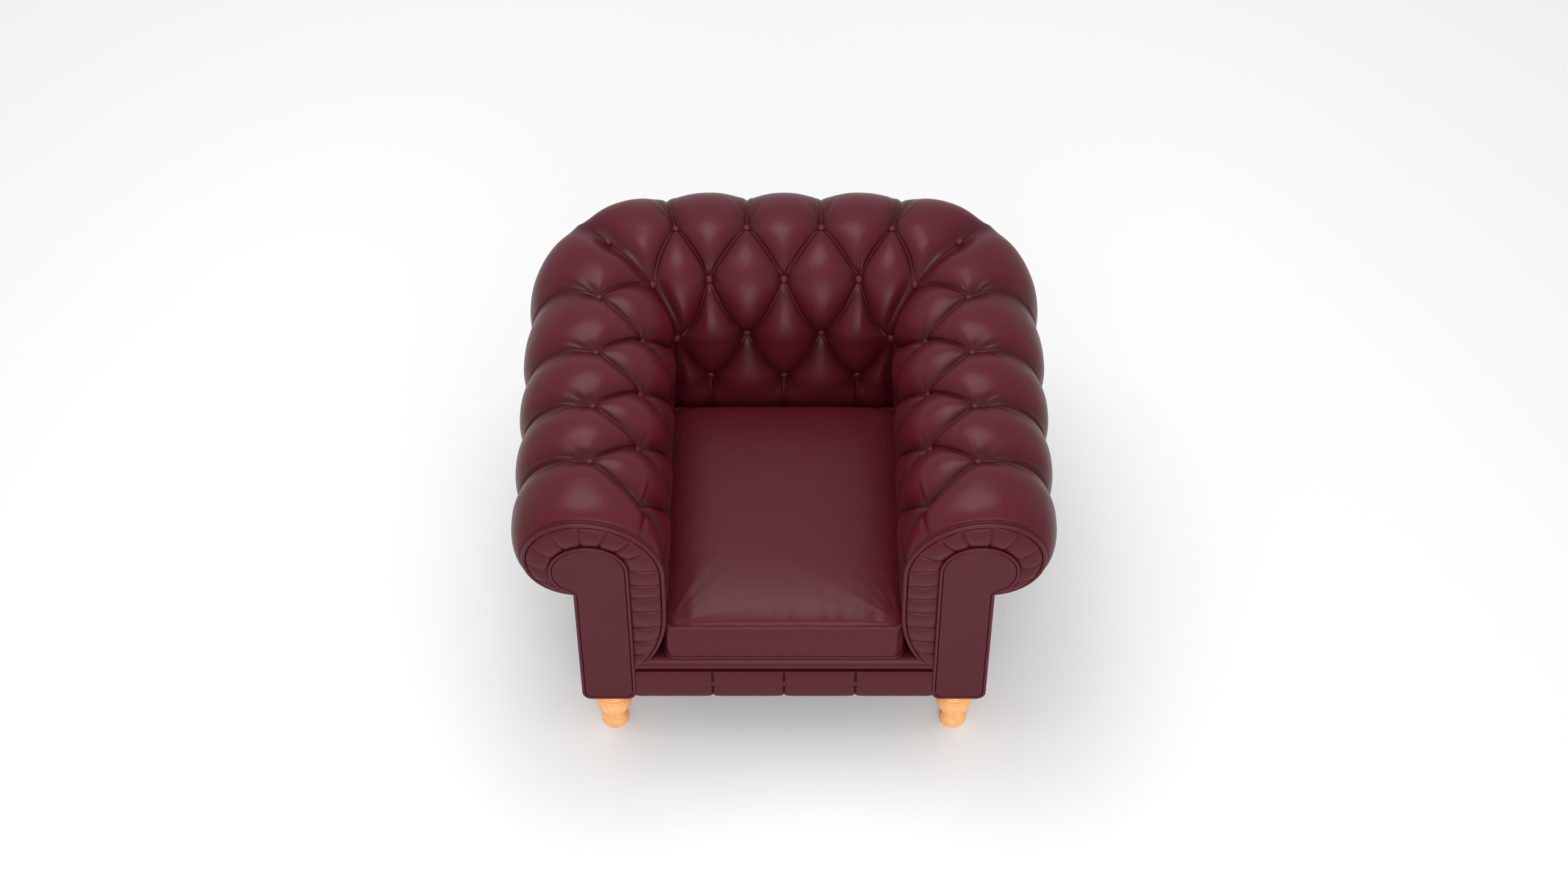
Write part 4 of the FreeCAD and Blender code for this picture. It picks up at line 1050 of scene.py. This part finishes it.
def cushion_grid():
    """Rings from under the middle, up the border and over the top to its middle."""
    under = shrunk((1 - UNDER_INSET) * np.linspace(0.0, 1.0, 12)[:, None, None])
    low = SEAM_LOW + low_wave
    high = SEAM_HIGH + top_wave - rear_drop(ring[:, 1])
    t = np.linspace(0.0, 1.0, 40)[1:-1, None]
    turn = np.linspace(0.0, 2 * math.pi, AROUND)
    at_corner = (np.exp(-((np.abs(ring[:, 0]) - CUSHION_HALF) / 0.05) ** 2)
                 * np.exp(-((ring[:, 1] - CUSHION_FRONT) / 0.10) ** 2))
    wrinkle = np.sin(61 * turn + 2 * np.sin(5 * turn)) + 0.7 * np.sin(97 * turn)
    wrinkle = WRINKLE * wrinkle * (0.35 + 0.65 * at_corner)
    bulge = BORDER_BULGE * np.sin(np.pi * t) ** 0.7
    side = shrunk((1.0 + bulge + wrinkle * np.sin(np.pi * t) ** 0.5 / 0.25)[..., None])
    inwards = np.linspace(0.0, 1.0, 90)[:, None] ** 1.25
    top = shrunk((1 - TOP_INSET) * (1.0 - inwards)[..., None])
    x, y = top[..., 0], top[..., 1]
    rise = (crown_height(x, y) + drag(x, y, 5)) * step(inwards, 0.0, 0.03) - rear_drop(y)
    wave = blend(top_wave, EDGE_WAVE, np.sqrt(np.clip(inwards / 0.1, 0, 1)))
    rings = np.concatenate([under, side, top])
    z = np.concatenate([np.broadcast_to(low, under.shape[:2]), blend(low, high, t), SEAM_HIGH + wave + rise])
    return np.concatenate([rings, z[..., None]], axis=-1)


cushion = cushion_grid()
cushion_piece = piece("seat_cushion", cushion.reshape(-1, 3), grid_faces(*cushion.shape[:2], False),
                      body="cushion", replaces=("cushion_cover",))
for name, seam, radius in (("bottom", SEAM_LOW + low_wave, 0.0028),
                           ("top", SEAM_HIGH + top_wave - rear_drop(ring[:, 1]), 0.0042)):
    path = np.concatenate([ring, seam[:, None]], axis=1)[:-1]
    piping("cushion_piping_" + name, path, UP, radius, ("cushion_welt_" + name,), closed=True, body="cushion")
print("cushion", len(cushion_piece.data.polygons), "faces")

# %% [markdown]
# Under the cushion a padded lip runs across the front, and below it a band covers the rail,
# drawn in by three short pleats with a small button sunk in each.

# %% Seat lip and front band
HALF_OPENING = 0.3165
LIP_BULGE, LIP_BACK = 0.018, 0.062
BAND_BULGE, BAND_BACK = 0.0068, 0.013
BAND_PLEATS = np.array([-0.1495, 0.0, 0.1495])
lip_box, band_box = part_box("seat_lip"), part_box("front_band")
lip_front = lip_box[0][1] - FRONT_Y
band_low = band_box[0][2]
band_middle = (band_low + band_box[1][2]) / 2


def profile(box, bulge, rear, count):
    """Closed profile (n, 2) of depth and height: a front that bulges and a flat rear.

    The front follows half a turn: its height is the sine, its depth bulge(cosine).
    """
    low, high = box[0][2], box[1][2]
    turn = np.radians(np.linspace(-90.0, 90.0, count))
    front = np.stack([bulge(np.cos(turn)), (low + high) / 2 + (high - low) / 2 * np.sin(turn)], -1)
    return np.concatenate([front, [[rear, high], [rear, low]]])


def bar(name, line, replaces, count=400, change=None, fold=None):
    """A closed profile drawn across the opening between the facings."""
    x = np.linspace(-HALF_OPENING, HALF_OPENING, count)[None, :]
    depth, z = line[:, :1], line[:, 1:]
    if change is not None:
        depth, z = change(x, depth, z)
    values = 0.0
    if fold is not None:
        values = fold(x, z)
        values = np.hstack([values[:, :1], values, values[:, -1:]])
    grid = capped(placed(x, depth, z))
    print(name, grid.shape[0], "by", grid.shape[1])
    return piece(name, grid.reshape(-1, 3), grid_faces(*grid.shape[:2], True), values, replaces=replaces)


def pleat_away(x):
    """Distance from the nearest pleat of the band."""
    return np.min(np.abs(x[..., None] - BAND_PLEATS), axis=-1)


def band_change(x, depth, z):
    """Draw the front of the band in at its pleats and round its buttons."""
    away = pleat_away(x)
    front = np.clip(-depth / BAND_BULGE, 0.0, 1.0)
    groove = 0.0044 * np.exp(-(away / 0.0020) ** 2) + 0.0022 * np.exp(-(away / 0.012) ** 2)
    well = 0.0036 * np.exp(-((away / 0.0075) ** 2 + ((z - band_middle) / 0.0065) ** 2))
    ends = 0.004 * np.exp(-((np.abs(x) - HALF_OPENING) / 0.008) ** 2)
    notch = 0.0035 * np.exp(-(away / 0.0035) ** 2) * (1.0 - step(z, band_low + 0.001, band_low + 0.008))
    return depth + (groove + well + ends) * front, z + notch


def band_fold(x, z):
    """Share of fold, the same all the way down a pleat, which paints the pleats darker as shade."""
    return np.exp(-(pleat_away(x) / 0.003) ** 2) + 0.0 * z


lip_line = profile(lip_box, lambda cosine: lip_front + LIP_BULGE * (1.0 - cosine), LIP_BACK, 40)
bar("seat_lip_dressed", lip_line, ("seat_lip",))
band_line = profile(band_box, lambda cosine: -BAND_BULGE * cosine ** 0.42, BAND_BACK, 60)
bar("front_band_dressed", band_line, ("front_band",), 900, band_change, band_fold)
band_domes = [dome(placed(x, -0.0012, band_middle), np.array([0.0, -1.0, 0.25]), 0.0068, 0.0026)
              for x in BAND_PLEATS]
joined("band_buttons_dressed", band_domes, ("band_buttons",))

# %% [markdown]
# The feet are turned from hardwood: a thick bead at the floor, a hollow neck, a round bulb
# and a stepped collar. Turning is a profile spun about its axis, so a fine curve through
# the maker's radii, carried round, gives the whole foot.

# %% Turned front feet
FOOT_X, FOOT_DEPTH = 0.3634, 0.042
FOOT_PROFILE = np.array([(0, 0), (25, 0), (28, 3), (29, 7), (28.2, 10.5), (25.2, 12.2), (25.2, 13.6),
                         (28.4, 15.2), (29, 18), (27.8, 21.5), (24.4, 24), (23, 30), (22.6, 38),
                         (23, 45), (23.6, 48), (26.8, 48.8), (28, 51.2), (27.2, 53.6), (26.6, 54.6),
                         (33, 58), (36.6, 65), (38, 74), (37.2, 82), (34, 88), (31.2, 89.8),
                         (31.2, 91.2), (34.4, 92.6), (35.6, 96), (34.6, 99.5), (30.6, 101.2),
                         (30.4, 102.8), (33, 104.2), (33.6, 106.5), (32.6, 108.5), (30.2, 110),
                         (30, 130), (33, 138), (34, 150), (0, 150)]) / 1000


def lathe(line, x, depth):
    """Spin a profile of radius and height about an upright axis."""
    turn = np.linspace(0.0, 2 * math.pi, 65)[None, :]
    radius, z = line[:, :1], line[:, 1:]
    return placed(x + radius * np.cos(turn), depth + radius * np.sin(turn), z)


foot_line = evenly(FOOT_PROFILE, 460)
for _ in range(2):
    foot_line[1:-1] = (foot_line[:-2] + 2 * foot_line[1:-1] + foot_line[2:]) / 4
joined("front_feet_turned", [lathe(foot_line, x, FOOT_DEPTH) for x in (-FOOT_X, FOOT_X)], ("front_feet",),
       HONEY_WOOD, 0.0)

# %% [markdown]
# The floor is a pale studio floor that runs on to the horizon. It catches the chair's soft
# shadow. Only what the camera itself sees of it gets a little light of its own, so that it
# reads as white while the lamps stay at a plain level.

# %% Floor, world and lamps
REACH = 14.0
OWN_LIGHT = (0.10, 0.10, 0.10)
floor_mesh = bpy.data.meshes.new("floor")
floor_mesh.from_pydata([(-REACH, -REACH, 0), (REACH, -REACH, 0), (REACH, REACH, 0), (-REACH, REACH, 0)],
                       [], [(0, 1, 2, 3)])
floor = linked("floor", floor_mesh)
floor_material, place, shader = new_material("pale_floor")
constants(shader, Base_Color=(0.72, 0.72, 0.72, 1.0), Roughness=0.9, Emission_Strength=1.0)
seen = place.node("ShaderNodeLightPath", out="Is Camera Ray")
tint(seen, (0.0, 0.0, 0.0), OWN_LIGHT).feed(shader, "Emission Color")
floor_mesh.materials.append(floor_material)

world = bpy.data.worlds.new("studio")
bpy.context.scene.world = world
world.use_nodes = True
constants(world.node_tree.nodes["Background"], Color=(1.0, 1.0, 1.0, 1.0), Strength=0.86)


def lamp(name, size, power, location, target):
    """A square soft box that faces a point."""
    data = bpy.data.lights.new(name, "AREA")
    data.shape = "SQUARE"
    data.size = size
    data.energy = power
    obj = linked(name, data)
    obj.location = location
    obj.rotation_euler = (Vector(target) - Vector(location)).to_track_quat("-Z", "Y").to_euler()
    print(name, power, "watts")


lamp("overhead_box", 1.9, 49.0, (-0.3, 0.3, 3.3), (0.0, 0.0, 0.4))
lamp("front_box", 2.6, 70.0, (0.3, -3.9, 2.1), (0.0, 0.0, 0.4))
bpy.context.scene.view_settings.view_transform = "Standard"

# %% [markdown]
# Last, the box of the model that came in is printed.

# %% Print the box of the model
print("cad box", cad_box)
